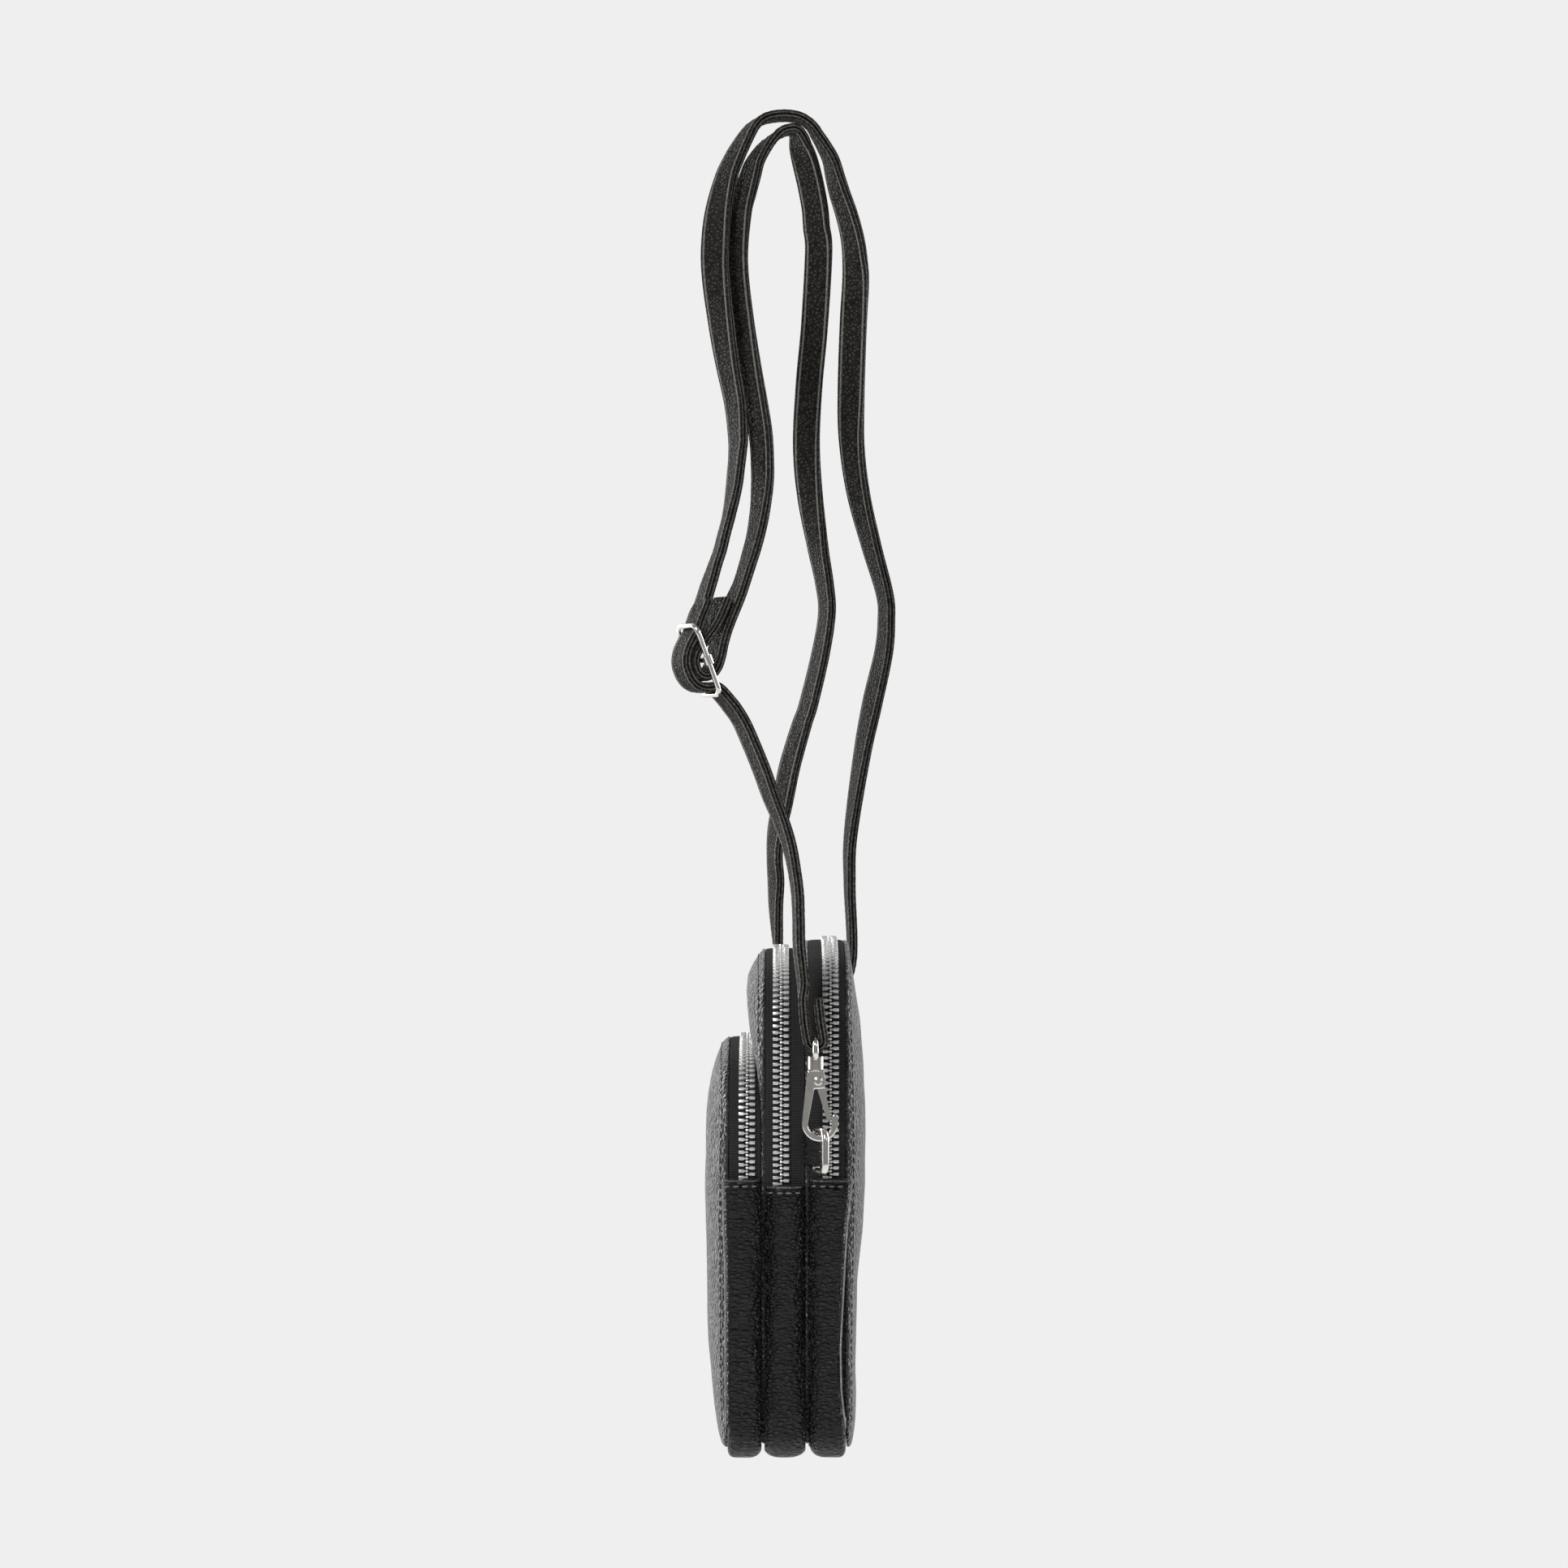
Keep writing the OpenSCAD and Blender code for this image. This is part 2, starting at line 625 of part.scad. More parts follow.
module hook(hook_y) {
    nose_x = bend_centre[0] + bend_radius + bend_metal / 2;
    nose_z = -hook_length * 0.66;
    outer = bend_radius + bend_metal;
    color(nickel) at_hook(hook_y) union() {
        difference() {
            hook_plate(hook_thickness) union() {
                polygon(concat([for (p = spine_shares) [p[0] * hook_width, p[1] * hook_length]],
                    [for (x = spine_foot_shares) [x * hook_width, -bend_drop]]));
                difference() {
                    translate(bend_centre) circle(r = outer, $fn = 64);
                    translate(bend_centre) circle(r = bend_radius, $fn = 64);
                    translate([-2 * outer, bend_centre[1]]) square([4 * outer, 2 * outer]);
                }
                translate([nose_x - bend_metal / 2, bend_centre[1]])
                    square([bend_metal, nose_z - bend_centre[1]]);
                translate([nose_x, nose_z]) circle(d = bend_metal, $fn = 32);
            }
            on_rivet() cylinder(d = rivet_d, h = 2 * hook_thickness, center = true, $fn = 24);
            translate([-tongue / 2 - running_gap * 2, rivet_shift - hook_width * 0.165, -hook_length * 0.4])
                cube([tongue + running_gap * 4, hook_width, hook_length * 0.32]);
        }
        translate([0, 0, -overrun - hook_length * 0.01])
            cylinder(d = stem_d, h = stem_neck + overrun + hook_length * 0.01 + running_gap * 4, $fn = 32);
        translate([0, 0, stem_neck + running_gap * 4]) cylinder(d = stem_head_d, h = stem_head, $fn = 32);
    }
}

module near_hook() {
    hook(near_hook_y);
}

module far_hook() {
    mirror([1, 0, 0]) hook(far_hook_y);
}

// The gate: a thin tongue on the rivet, and a wider leaf with a thumb bump down to the nose
module gate(hook_y) {
    pivot = [0, -gate_pivot_drop];
    tip = [bend_centre[0] + bend_radius - gate_thickness / 2 - running_gap * 4, -hook_length * 0.685];
    lie = unit(tip - pivot);
    square_to = [-lie[1], lie[0]];
    start = pivot + lie * hook_length * 0.18;
    near_bump = start + square_to * gate_thickness * 0.4;
    bore = rivet_d + running_gap * 2;
    color(nickel) at_hook(hook_y) difference() {
        union() {
            hook_plate(tongue) union() {
                translate(pivot) circle(r = rivet_d, $fn = 32);
                polygon([pivot + square_to * rivet_d * 0.9, tip + square_to * gate_thickness / 2,
                    tip - square_to * gate_thickness / 2, pivot - square_to * rivet_d * 0.7]);
            }
            hook_plate(hook_thickness) union() {
                polygon([start + square_to * gate_thickness / 2, tip + square_to * gate_thickness / 2,
                    tip - square_to * gate_thickness / 2, start - square_to * gate_thickness / 2]);
                translate(tip) circle(d = gate_thickness, $fn = 32);
                translate(near_bump) circle(d = gate_thickness * 1.3, $fn = 32);
            }
        }
        on_rivet() cylinder(d = bore, h = 2 * hook_thickness, center = true, $fn = 24);
    }
}

module near_gate() {
    gate(near_hook_y);
}

module far_gate() {
    mirror([1, 0, 0]) gate(far_hook_y);
}

module rivet(hook_y) {
    head = rivet_d * 0.35;
    color(steel) at_hook(hook_y) on_rivet() union() {
        cylinder(d = rivet_d, h = hook_thickness, center = true, $fn = 24);
        for (side = [0, 1]) mirror([0, 0, side]) translate([0, 0, hook_thickness / 2])
            cylinder(d1 = rivet_head_d, d2 = rivet_head_d * 0.7, h = head, $fn = 32);
    }
}

module near_rivet() {
    rivet(near_hook_y);
}

module far_rivet() {
    mirror([1, 0, 0]) rivet(far_hook_y);
}

// A rounded rectangle of wire in X and Z, centred, given the half sizes of its centre line
module wire_frame(half_x, half_z, r, wire) {
    for (side = [0, 1]) mirror([side, 0, 0]) {
        translate([half_x, 0, r - half_z]) wire_up(wire, 2 * (half_z - r));
        for (end = [0, 1]) mirror([0, 0, end]) translate([half_x - r, 0, half_z - r]) wire_bend(r, wire);
    }
    for (end = [0, 1]) mirror([0, 0, end]) translate([r - half_x, 0, half_z])
        wire_along(wire, 2 * (half_x - r));
}

// Hook eyes: a wire loop for the strap on a swivel block that holds the hook's stem
module eye(hook_y) {
    half_x = strap_width / 2 + seat_gap + eye_wire / 2;
    block = hook_top + running_gap * 2;
    color(nickel) hung() translate([hook_reach_x, hook_y, 0]) difference() {
        union() {
            translate([0, 0, eye_height - eye_rise / 2]) wire_frame(half_x, eye_rise / 2, eye_wire, eye_wire);
            translate([0, 0, block]) cylinder(d = swivel_d, h = swivel_height, $fn = 48);
        }
        translate([0, 0, block - overrun])
            cylinder(d = stem_d + running_gap * 2, h = stem_neck + overrun, $fn = 32);
        translate([0, 0, block + stem_neck - running_gap])
            cylinder(d = stem_head_d + running_gap * 2, h = stem_head + running_gap * 6, $fn = 32);
    }
}

module near_eye() {
    eye(near_hook_y);
}

module far_eye() {
    mirror([1, 0, 0]) eye(far_hook_y);
}

// The adjuster: a wire frame, and a middle bar whose sleeves wrap the frame's long sides
adjuster_shares = [1, -0.1027, -0.5956];
adjuster_place = [adjuster_shares[0] * hook_reach_x, adjuster_shares[1] * strap_drop,
    adjuster_shares[2] * strap_drop];
sleeve_d = adjuster_wire * 1.8;
adjuster_half = strap_width / 2 + seat_gap + sleeve_d / 2;

module at_adjuster() {
    translate(adjuster_place) rotate([0, 0, adjuster_turn]) rotate([adjuster_tilt, 0, 0]) children();
}

module adjuster_frame() {
    color(nickel) at_adjuster()
        wire_frame(adjuster_half, adjuster_length / 2, adjuster_wire * 1.6, adjuster_wire);
}

module adjuster_bar() {
    sleeve = adjuster_wire * 1.7;
    color(nickel) at_adjuster() difference() {
        union() {
            translate([-adjuster_half, 0, 0]) wire_along(adjuster_wire, 2 * adjuster_half);
            for (side = [-1, 1]) translate([side * adjuster_half, 0, -sleeve / 2])
                cylinder(d = sleeve_d, h = sleeve, $fn = 32);
        }
        for (side = [-1, 1]) translate([side * adjuster_half, 0, -sleeve])
            cylinder(d = adjuster_wire + running_gap * 2, h = 2 * sleeve, $fn = 24);
    }
}

// The strap is one strip. Each stretch lists [x, y, z, facing], with x as a share of the hooks'
// distance, y and z as shares of the drop, and the facing angle of its width from the X axis.
near_run_shares = [[1, 0.0085, -0.938, 8], [1, 0.0045, -0.902, 9], [0.995, 0.0038, -0.87, 8.5],
    [0.985, 0.0026, -0.8437, 10], [0.975, -0.001, -0.8177, 11.5], [0.965, -0.0065, -0.7916, 15.5],
    [0.95, -0.0145, -0.768, 20], [0.93, -0.0259, -0.7396, 24], [0.91, -0.0353, -0.7135, 25],
    [0.89, -0.0458, -0.6874, 25], [0.875, -0.0574, -0.6612, 25.5]];
outer_near_shares = [[0.97, -0.0979, -0.532, 22], [0.95, -0.0919, -0.512, 20],
    [0.92, -0.0862, -0.494, 15], [0.885, -0.0806, -0.477, 13], [0.85, -0.0762, -0.459, 12],
    [0.81, -0.0716, -0.441, 12], [0.77, -0.068, -0.423, 16], [0.73, -0.0654, -0.405, 20],
    [0.69, -0.0637, -0.387, 22], [0.655, -0.062, -0.369, 24], [0.62, -0.0616, -0.351, 29],
    [0.585, -0.0646, -0.314, 36], [0.54, -0.0731, -0.269, 43], [0.46, -0.0805, -0.222, 52],
    [0.37, -0.0872, -0.166, 66], [0.29, -0.0877, -0.128, 72], [0.21, -0.084, -0.09, 60],
    [0.14, -0.076, -0.053, 46], [0.1, -0.069, -0.034, 41], [0.07, -0.06, -0.015, 34],
    [0.04, -0.047, 0.0065, 22], [0.015, -0.033, 0.0165, 9]];
outer_far_shares = [[0, -0.0126, 0.0202, 0], [0, 0.0055, 0.0178, 0], [-0.01, 0.0185, 0.0095, 4],
    [-0.03, 0.0265, -0.002, 10], [-0.04, 0.0335, -0.0135, 15], [-0.055, 0.041, -0.028, 21],
    [-0.085, 0.046, -0.046, 28], [-0.12, 0.051, -0.063, 34], [-0.15, 0.057, -0.08, 38],
    [-0.18, 0.0625, -0.098, 41], [-0.21, 0.0665, -0.116, 45], [-0.24, 0.0685, -0.133, 51],
    [-0.28, 0.0695, -0.158, 64], [-0.35, 0.067, -0.206, 78], [-0.47, 0.065, -0.28, 75],
    [-0.55, 0.066, -0.337, 55],
    [-0.63, 0.074, -0.394, 45], [-0.71, 0.089, -0.452, 33], [-0.77, 0.105, -0.508, 24],
    [-0.8, 0.107, -0.538, 24], [-0.83, 0.104, -0.575, 28], [-0.89, 0.091, -0.634, 34],
    [-0.92, 0.079, -0.695, 25], [-0.97, 0.066, -0.788, 14], [-0.98, 0.065, -0.846, 9],
    [-1, 0.067, -0.935, 5]];
inner_far_shares = [[-1, -0.018, -0.923, 4], [-0.99, -0.02, -0.897, 11],
    [-0.985, -0.0213, -0.8687, 18], [-0.98, -0.0211, -0.8403, 24], [-0.97, -0.0226, -0.8118, 22],
    [-0.965, -0.0205, -0.783, 29], [-0.96, -0.0146, -0.755, 37], [-0.94, -0.0063, -0.7123, 40],
    [-0.925, 0.0013, -0.684, 38], [-0.905, 0.0098, -0.656, 34], [-0.89, 0.017, -0.634, 31],
    [-0.83, 0.031, -0.575, 28], [-0.79, 0.038, -0.529, 25], [-0.75, 0.035, -0.495, 28],
    [-0.71, 0.027, -0.452, 38], [-0.63, 0.018, -0.394, 60], [-0.55, 0.014, -0.337, 80],
    [-0.45, 0.017, -0.271, 90], [-0.35, 0.023, -0.206, 88], [-0.23, 0.0275, -0.126, 76],
    [-0.19, 0.025, -0.099, 66], [-0.16, 0.0235, -0.081, 62], [-0.13, 0.0205, -0.064, 62],
    [-0.1, 0.0165, -0.046, 62], [-0.075, 0.012, -0.029, 58], [-0.06, 0.0075, -0.0135, 44],
    [-0.035, 0.005, -0.0015, 24]];
inner_near_shares = [[-0.01, -0.0015, 0.005, 8], [0.01, -0.0145, 0.0015, 6],
    [0.03, -0.0245, -0.0065, 15], [0.05, -0.034, -0.017, 26], [0.08, -0.0447, -0.035, 34],
    [0.11, -0.0505, -0.054, 42], [0.13, -0.0567, -0.073, 52], [0.155, -0.0621, -0.091, 62],
    [0.2, -0.0665, -0.129, 74], [0.27, -0.066, -0.166, 74], [0.37, -0.0594, -0.222, 68],
    [0.47, -0.0517, -0.269, 57], [0.55, -0.0428, -0.314, 46], [0.62, -0.0367, -0.351, 41],
    [0.68, -0.0349, -0.387, 39], [0.71, -0.0352, -0.405, 37], [0.74, -0.0365, -0.423, 32],
    [0.77, -0.0388, -0.441, 29], [0.8, -0.0421, -0.459, 26], [0.825, -0.0466, -0.4765, 25],
    [0.85, -0.0517, -0.494, 23], [0.87, -0.0574, -0.512, 23]];
// Round the adjuster the strap lists [out of the frame's plane, up the frame] in bar turns
adjuster_outer_shares = [[2.3, -7.6], [1.8, -6.2], [1.4, -5.25], [1.03, -4.48], [0.55, -3.88],
    [-0.3, -3.68], [-1.3, -3.3], [-2.12, -2.55], [-2.55, -1.55], [-2.68, -0.5], [-2.57, 0.5],
    [-2.15, 1.42], [-1.5, 2.25], [-0.65, 2.95], [0.2, 3.58], [0.75, 3.98], [1.4, 4.75], [2.1, 5.5],
    [2.9, 6.25]];
adjuster_inner_shares = [[8, 5.5], [6.2, 3.8], [4.7, 2.3], [3.55, 0.9], [2.6, -0.45], [1.65, -1.5],
    [0.55, -2.1], [-0.5, -2.05], [-1.2, -1.45], [-1.42, -0.55], [-1.25, 0.35], [-0.75, 1.1], [0, 1.65],
    [0.95, 2.15], [2, 2.7], [3.2, 3.4], [4.4, 4.3], [5.5, 5.3], [6.4, 6.2]];
strap_corner = strap_thickness * 0.28;
strap_steps = 2;
eye_turn = eye_wire / 2 + strap_thickness / 2 + seat_gap * 0.6;
bar_turn = adjuster_wire / 2 + strap_thickness / 2 + seat_gap / 2;

function placed(shares) = [for (p = shares)
    [p[0] * hook_reach_x, p[1] * strap_drop, p[2] * strap_drop, p[3]]];

// A point beside the adjuster's middle bar, in the hung frame
function by_bar(out, up) =
    let (c = cos(adjuster_tilt), s = sin(adjuster_tilt),
        across = [-sin(adjuster_turn), cos(adjuster_turn), 0])
    concat(adjuster_place + out * (c * across + [0, 0, s]) + up * (-s * across + [0, 0, c]),
        [adjuster_turn]);

function eye_point(side, hook_y, back, up) =
    [side * hook_reach_x, hook_y - hang_back + back, up - strap_drop, 0];

near_fold = concat(
    [eye_point(1, near_hook_y, 0.35 * eye_turn, fold_length),
        eye_point(1, near_hook_y, 0.6 * eye_turn, fold_length / 2)],
    [for (a = [0:-45:-180]) eye_point(1, near_hook_y, eye_turn * cos(a), eye_turn * sin(a))],
    [eye_point(1, near_hook_y, -1.4 * eye_turn, fold_length / 2),
        eye_point(1, near_hook_y, -1.55 * eye_turn, fold_length)]);
far_turn = concat(
    [eye_point(-1, far_hook_y, 4.4 * eye_turn, fold_length / 2)],
    [for (a = [-45:-45:-180]) eye_point(-1, far_hook_y, eye_turn * cos(a), eye_turn * sin(a))],
    [eye_point(-1, far_hook_y, -2.4 * eye_turn, fold_length / 2)]);
adjuster_outer = [for (p = adjuster_outer_shares) by_bar(p[0] * bar_turn, p[1] * bar_turn)];
adjuster_inner = [for (p = adjuster_inner_shares) by_bar(p[0] * bar_turn, p[1] * bar_turn)];

near_run = concat(near_fold, placed(near_run_shares));
outer_near = concat(adjuster_outer, placed(outer_near_shares));
outer_far = placed(outer_far_shares);
inner_far = concat(far_turn, placed(inner_far_shares));
inner_near = concat(placed(inner_near_shares), adjuster_inner);
strap_route = concat(near_run, outer_near, outer_far, inner_far, inner_near);
// Where each stretch ends along the route
mark_1 = len(near_run);
mark_2 = mark_1 + len(outer_near);
mark_3 = mark_2 + len(outer_far);
mark_4 = mark_3 + len(inner_far);
mark_5 = len(strap_route) - 1;

// A smooth curve through the route's points, strap_steps rings to a point
function route_at(i) = strap_route[max(0, min(len(strap_route) - 1, i))];
function smooth_route(i, t) =
    let (a = route_at(i - 1), b = route_at(i), c = route_at(i + 1), d = route_at(i + 2))
    (2 * b + (c - a) * t + (2 * a - 5 * b + 4 * c - d) * t * t + (3 * b - a - 3 * c + d) * t * t * t) / 2;
function place(p) = [p[0], p[1], p[2]];

strap_section = [[strap_width / 2, strap_corner - strap_thickness / 2],
    [strap_width / 2, strap_thickness / 2 - strap_corner],
    [strap_width / 2 - strap_corner, strap_thickness / 2],
    [strap_corner - strap_width / 2, strap_thickness / 2],
    [-strap_width / 2, strap_thickness / 2 - strap_corner],
    [-strap_width / 2, strap_corner - strap_thickness / 2],
    [strap_corner - strap_width / 2, -strap_thickness / 2],
    [strap_width / 2 - strap_corner, -strap_thickness / 2]];

function strap_ring(k) =
    let (i = floor(k / strap_steps),
        t = k / strap_steps - i,
        p = smooth_route(i, t),
        ahead = smooth_route(i, t + 0.02),
        behind = smooth_route(i, t - 0.02),
        way = unit(place(ahead) - place(behind)),
        level = [cos(p[3]), sin(p[3]), 0],
        width = unit(level - (level * way) * way),
        face = cross(way, width))
    [for (c = strap_section) place(p) + c[0] * width + c[1] * face];

module strap(first, last) {
    sides = len(strap_section);
    rings = (last - first) * strap_steps;
    points = [for (k = [0:rings]) each strap_ring(first * strap_steps + k)];
    skin = [for (k = [0:rings - 1], j = [0:sides - 1])
        let (a = k * sides + j, b = k * sides + (j + 1) % sides)
        each [[a, a + sides, b + sides], [a, b + sides, b]]];
    start = [for (j = [1:sides - 2]) [0, j, j + 1]];
    finish = [for (f = start) [for (v = reverse(f)) v + rings * sides]];
    color(strap_black) polyhedron(points = points, faces = concat(skin, start, finish));
}

module strap_near_run() {
    strap(0, mark_1);
}

module strap_outer_near() {
    strap(mark_1, mark_2);
}

module strap_outer_far() {
    strap(mark_2, mark_3);
}

module strap_inner_far() {
    strap(mark_3, mark_4);
}

module strap_inner_near() {
    strap(mark_4, mark_5);
}

front_panel();
middle_front_panel();
divider_panel();
back_panel();
front_gusset();
middle_gusset();
rear_gusset();
front_zip_front_tape();
front_zip_back_tape();
middle_zip_front_tape();
middle_zip_back_tape();
rear_zip_front_tape();
rear_zip_back_tape();
front_zip_front_teeth();
front_zip_back_teeth();
middle_zip_front_teeth();
middle_zip_back_teeth();
rear_zip_front_teeth();
rear_zip_back_teeth();
front_slider();
middle_slider();
rear_slider();
front_pull();
middle_pull();
rear_pull();
near_tab();
far_tab();
near_ring();
far_ring();
near_hook();
far_hook();
near_gate();
far_gate();
near_rivet();
far_rivet();
near_eye();
far_eye();
adjuster_frame();
adjuster_bar();
strap_near_run();
strap_outer_near();
strap_outer_far();
strap_inner_far();
strap_inner_near();
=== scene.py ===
import math

import bmesh
import bpy
import numpy as np
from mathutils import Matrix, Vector


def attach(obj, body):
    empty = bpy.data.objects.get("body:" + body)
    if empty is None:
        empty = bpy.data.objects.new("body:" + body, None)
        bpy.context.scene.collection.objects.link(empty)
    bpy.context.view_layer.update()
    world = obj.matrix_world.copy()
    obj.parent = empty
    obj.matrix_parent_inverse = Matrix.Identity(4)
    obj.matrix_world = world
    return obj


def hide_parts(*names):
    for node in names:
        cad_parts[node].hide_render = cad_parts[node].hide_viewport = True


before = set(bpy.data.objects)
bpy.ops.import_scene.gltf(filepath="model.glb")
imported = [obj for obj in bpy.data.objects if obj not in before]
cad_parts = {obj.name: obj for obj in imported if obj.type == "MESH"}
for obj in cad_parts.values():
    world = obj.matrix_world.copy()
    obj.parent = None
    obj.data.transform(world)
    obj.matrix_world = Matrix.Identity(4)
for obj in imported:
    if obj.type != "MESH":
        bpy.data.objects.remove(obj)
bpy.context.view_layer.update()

MM = 0.001
HANG = np.array([0, -3.5, -473.12])     # from the pouch's own millimetres to the row frame

# ---------------------------------------------------------------- camera
PHOTO_PIXELS, FOCAL_PIXELS, SENSOR = 1932, 4748, 36
cam = bpy.data.objects.new("camera", bpy.data.cameras.new("camera"))
bpy.context.scene.collection.objects.link(cam)
cam.data.sensor_width = SENSOR
cam.data.lens = SENSOR * FOCAL_PIXELS / PHOTO_PIXELS
cam.location = (1.4, -0.0038, -0.2362)
cam.rotation_euler = (math.radians(90), 0, math.radians(90))
cam.data.clip_start, cam.data.clip_end = 0.05, 50
bpy.context.scene.camera = cam

# ---------------------------------------------------------------- sizes in millimetres, as in the model
SEAM_HALF, LIP, PANEL_HALF = 52.0, 0.6, 52.6
REAR, MIDDLE, FRONT = 180.9, 177.8, 145.7           # heights of the panels
HEM, MIDDLE_HEM = 98.9, 96.6
FRONT_WALL, MIDDLE_WALL = (-21.25, -19.65), (-8.35, -6.95)
DIVIDER, BACK_WALL = (6.95, 8.35), (21.25, 22.85)
TOP_R, TILT, FOOT_R, SWELL = 26.0, 16.0, 9.0, 3.5
FOOT = SWELL - LIP
CROWN_REACH = (PANEL_HALF - TOP_R) / math.sin(math.radians(TILT))
CROWN_R = TOP_R + CROWN_REACH
CROWN_DROP = CROWN_REACH * math.cos(math.radians(TILT))
CROWN_RISE = CROWN_R - CROWN_DROP
ZIPS = {"front": (FRONT, HEM, -13.32, FRONT_WALL[1], MIDDLE_WALL[0]),
        "middle": (MIDDLE, MIDDLE_HEM, -1.377, MIDDLE_WALL[1], DIVIDER[0]),
        "rear": (REAR, HEM, 16.016, DIVIDER[1], BACK_WALL[0])}
PITCH, RISE = 2.2, 1.4                              # of the teeth
SLIDER, PARK_GAP, WEDGE_SHARE, TOOTH_GAP = 11, 0.9, 0.24, 0.3
STITCH_PITCH = 3.0


# ---------------------------------------------------------------- mesh helpers
def to_row(points):
    return (np.asarray(points, float) + HANG) * MM


def fix_normals(obj, weld):
    b = bmesh.new()
    b.from_mesh(obj.data)
    if weld:
        bmesh.ops.remove_doubles(b, verts=b.verts, dist=weld)
    bmesh.ops.recalc_face_normals(b, faces=b.faces)
    b.to_mesh(obj.data)
    b.free()
    obj.data.polygons.foreach_set("use_smooth", [True] * len(obj.data.polygons))


def make(name, points, faces, look, body, stands_for, uv=None, weld=0.0):
    mesh = bpy.data.meshes.new(name)
    mesh.from_pydata([tuple(p) for p in points], [], [tuple(int(i) for i in f) for f in faces])
    mesh.validate()
    if uv is not None:
        layer = mesh.uv_layers.new(name="flat")
        index = np.empty(len(mesh.loops), np.int64)
        mesh.loops.foreach_get("vertex_index", index)
        layer.data.foreach_set("uv", np.asarray(uv, np.float32)[index].ravel())
    obj = bpy.data.objects.new(name, mesh)
    bpy.context.scene.collection.objects.link(obj)
    mesh.materials.append(look)
    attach(obj, body)
    if stands_for:
        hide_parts(*stands_for)
    fix_normals(obj, weld)
    return obj


def grid_faces(rows, columns, wrap=False, start=0, flip=False):
    faces = []
    for i in range(rows - 1):
        near, far = start + i * columns, start + (i + 1) * columns
        for j in range(columns if wrap else columns - 1):
            k = (j + 1) % columns
            f = (near + j, near + k, far + k, far + j)
            faces.append(f[::-1] if flip else f)
    return faces


def tube_faces(rings, sides, start=0):
    faces = grid_faces(rings, sides, wrap=True, start=start)
    faces.append(tuple(start + j for j in range(sides))[::-1])
    last = start + (rings - 1) * sides
    faces.append(tuple(last + j for j in range(sides)))
    return faces


def waves(p, size, seed, count=9):
    """Smooth seeded noise of about -1 to 1 for an array of points."""
    r = np.random.default_rng(seed)
    total = np.zeros(len(p))
    for _ in range(count):
        d = r.normal(size=3)
        d /= np.linalg.norm(d)
        total += np.sin(p @ d * (2 * math.pi / (size * r.uniform(0.7, 1.6))) + r.uniform(0, 6.28))
    return total / 4


def eased(shares, samples=801, blur=0.011, reach=60):
    """A table of [place, value] as a smooth curve."""
    t = np.linspace(0, 1, samples)
    v = np.interp(t, [s[0] for s in shares], [s[1] for s in shares])
    k = np.arange(-reach, reach + 1) / (samples * blur)
    w = np.exp(-k * k / 2)
    w /= w.sum()
    pad = np.concatenate([2 * v[0] - v[reach:0:-1], v, 2 * v[-1] - v[-2:-reach - 2:-1]])
    return t, np.convolve(pad, w, mode="valid")


# ---------------------------------------------------------------- material helpers
def material(name):
    m = bpy.data.materials.new(name)
    m.use_nodes = True
    t = m.node_tree
    return m, t, t.nodes["Principled BSDF"]


def node(tree, kind, **values):
    n = tree.nodes.new(kind)
    for k, v in values.items():
        if k in n.inputs:
            n.inputs[k].default_value = v
        else:
            setattr(n, k, v)
    return n


def fed(tree, kind, source, **values):
    """A node whose Vector input takes the source."""
    n = node(tree, kind, **values)
    tree.links.new(source, n.inputs["Vector"])
    return n


def math_node(tree, op, a, b=None, clamp=False):
    n = tree.nodes.new("ShaderNodeMath")
    n.operation = op
    n.use_clamp = clamp
    for i, v in enumerate((a, b)):
        if v is None:
            continue
        if isinstance(v, (int, float)):
            n.inputs[i].default_value = v
        else:
            tree.links.new(v, n.inputs[i])
    return n.outputs[0]


def weighted(tree, *terms):
    """The sum of the sources, each times its weight."""
    total = None
    for source, weight in terms:
        part = math_node(tree, "MULTIPLY", source, weight)
        total = part if total is None else math_node(tree, "ADD", total, part)
    return total


def ramp(tree, source, stops, mode="EASE"):
    """A colour ramp. Each stop is made at its place, since Blender keeps them sorted."""
    n = tree.nodes.new("ShaderNodeValToRGB")
    n.color_ramp.interpolation = mode
    e = n.color_ramp.elements
    e.remove(e[1])
    for k, (p, c) in enumerate(stops):
        stop = e.new(p) if k else e[0]
        stop.position = p
        stop.color = (*c, 1) if isinstance(c, tuple) else (c, c, c, 1)
    tree.links.new(source, n.inputs[0])
    return n.outputs[0]


def bumped(tree, shader, height, strength, distance):
    bump = node(tree, "ShaderNodeBump", Strength=strength, Distance=distance)
    tree.links.new(height, bump.inputs["Height"])
    tree.links.new(bump.outputs[0], shader.inputs["Normal"])
    return bump


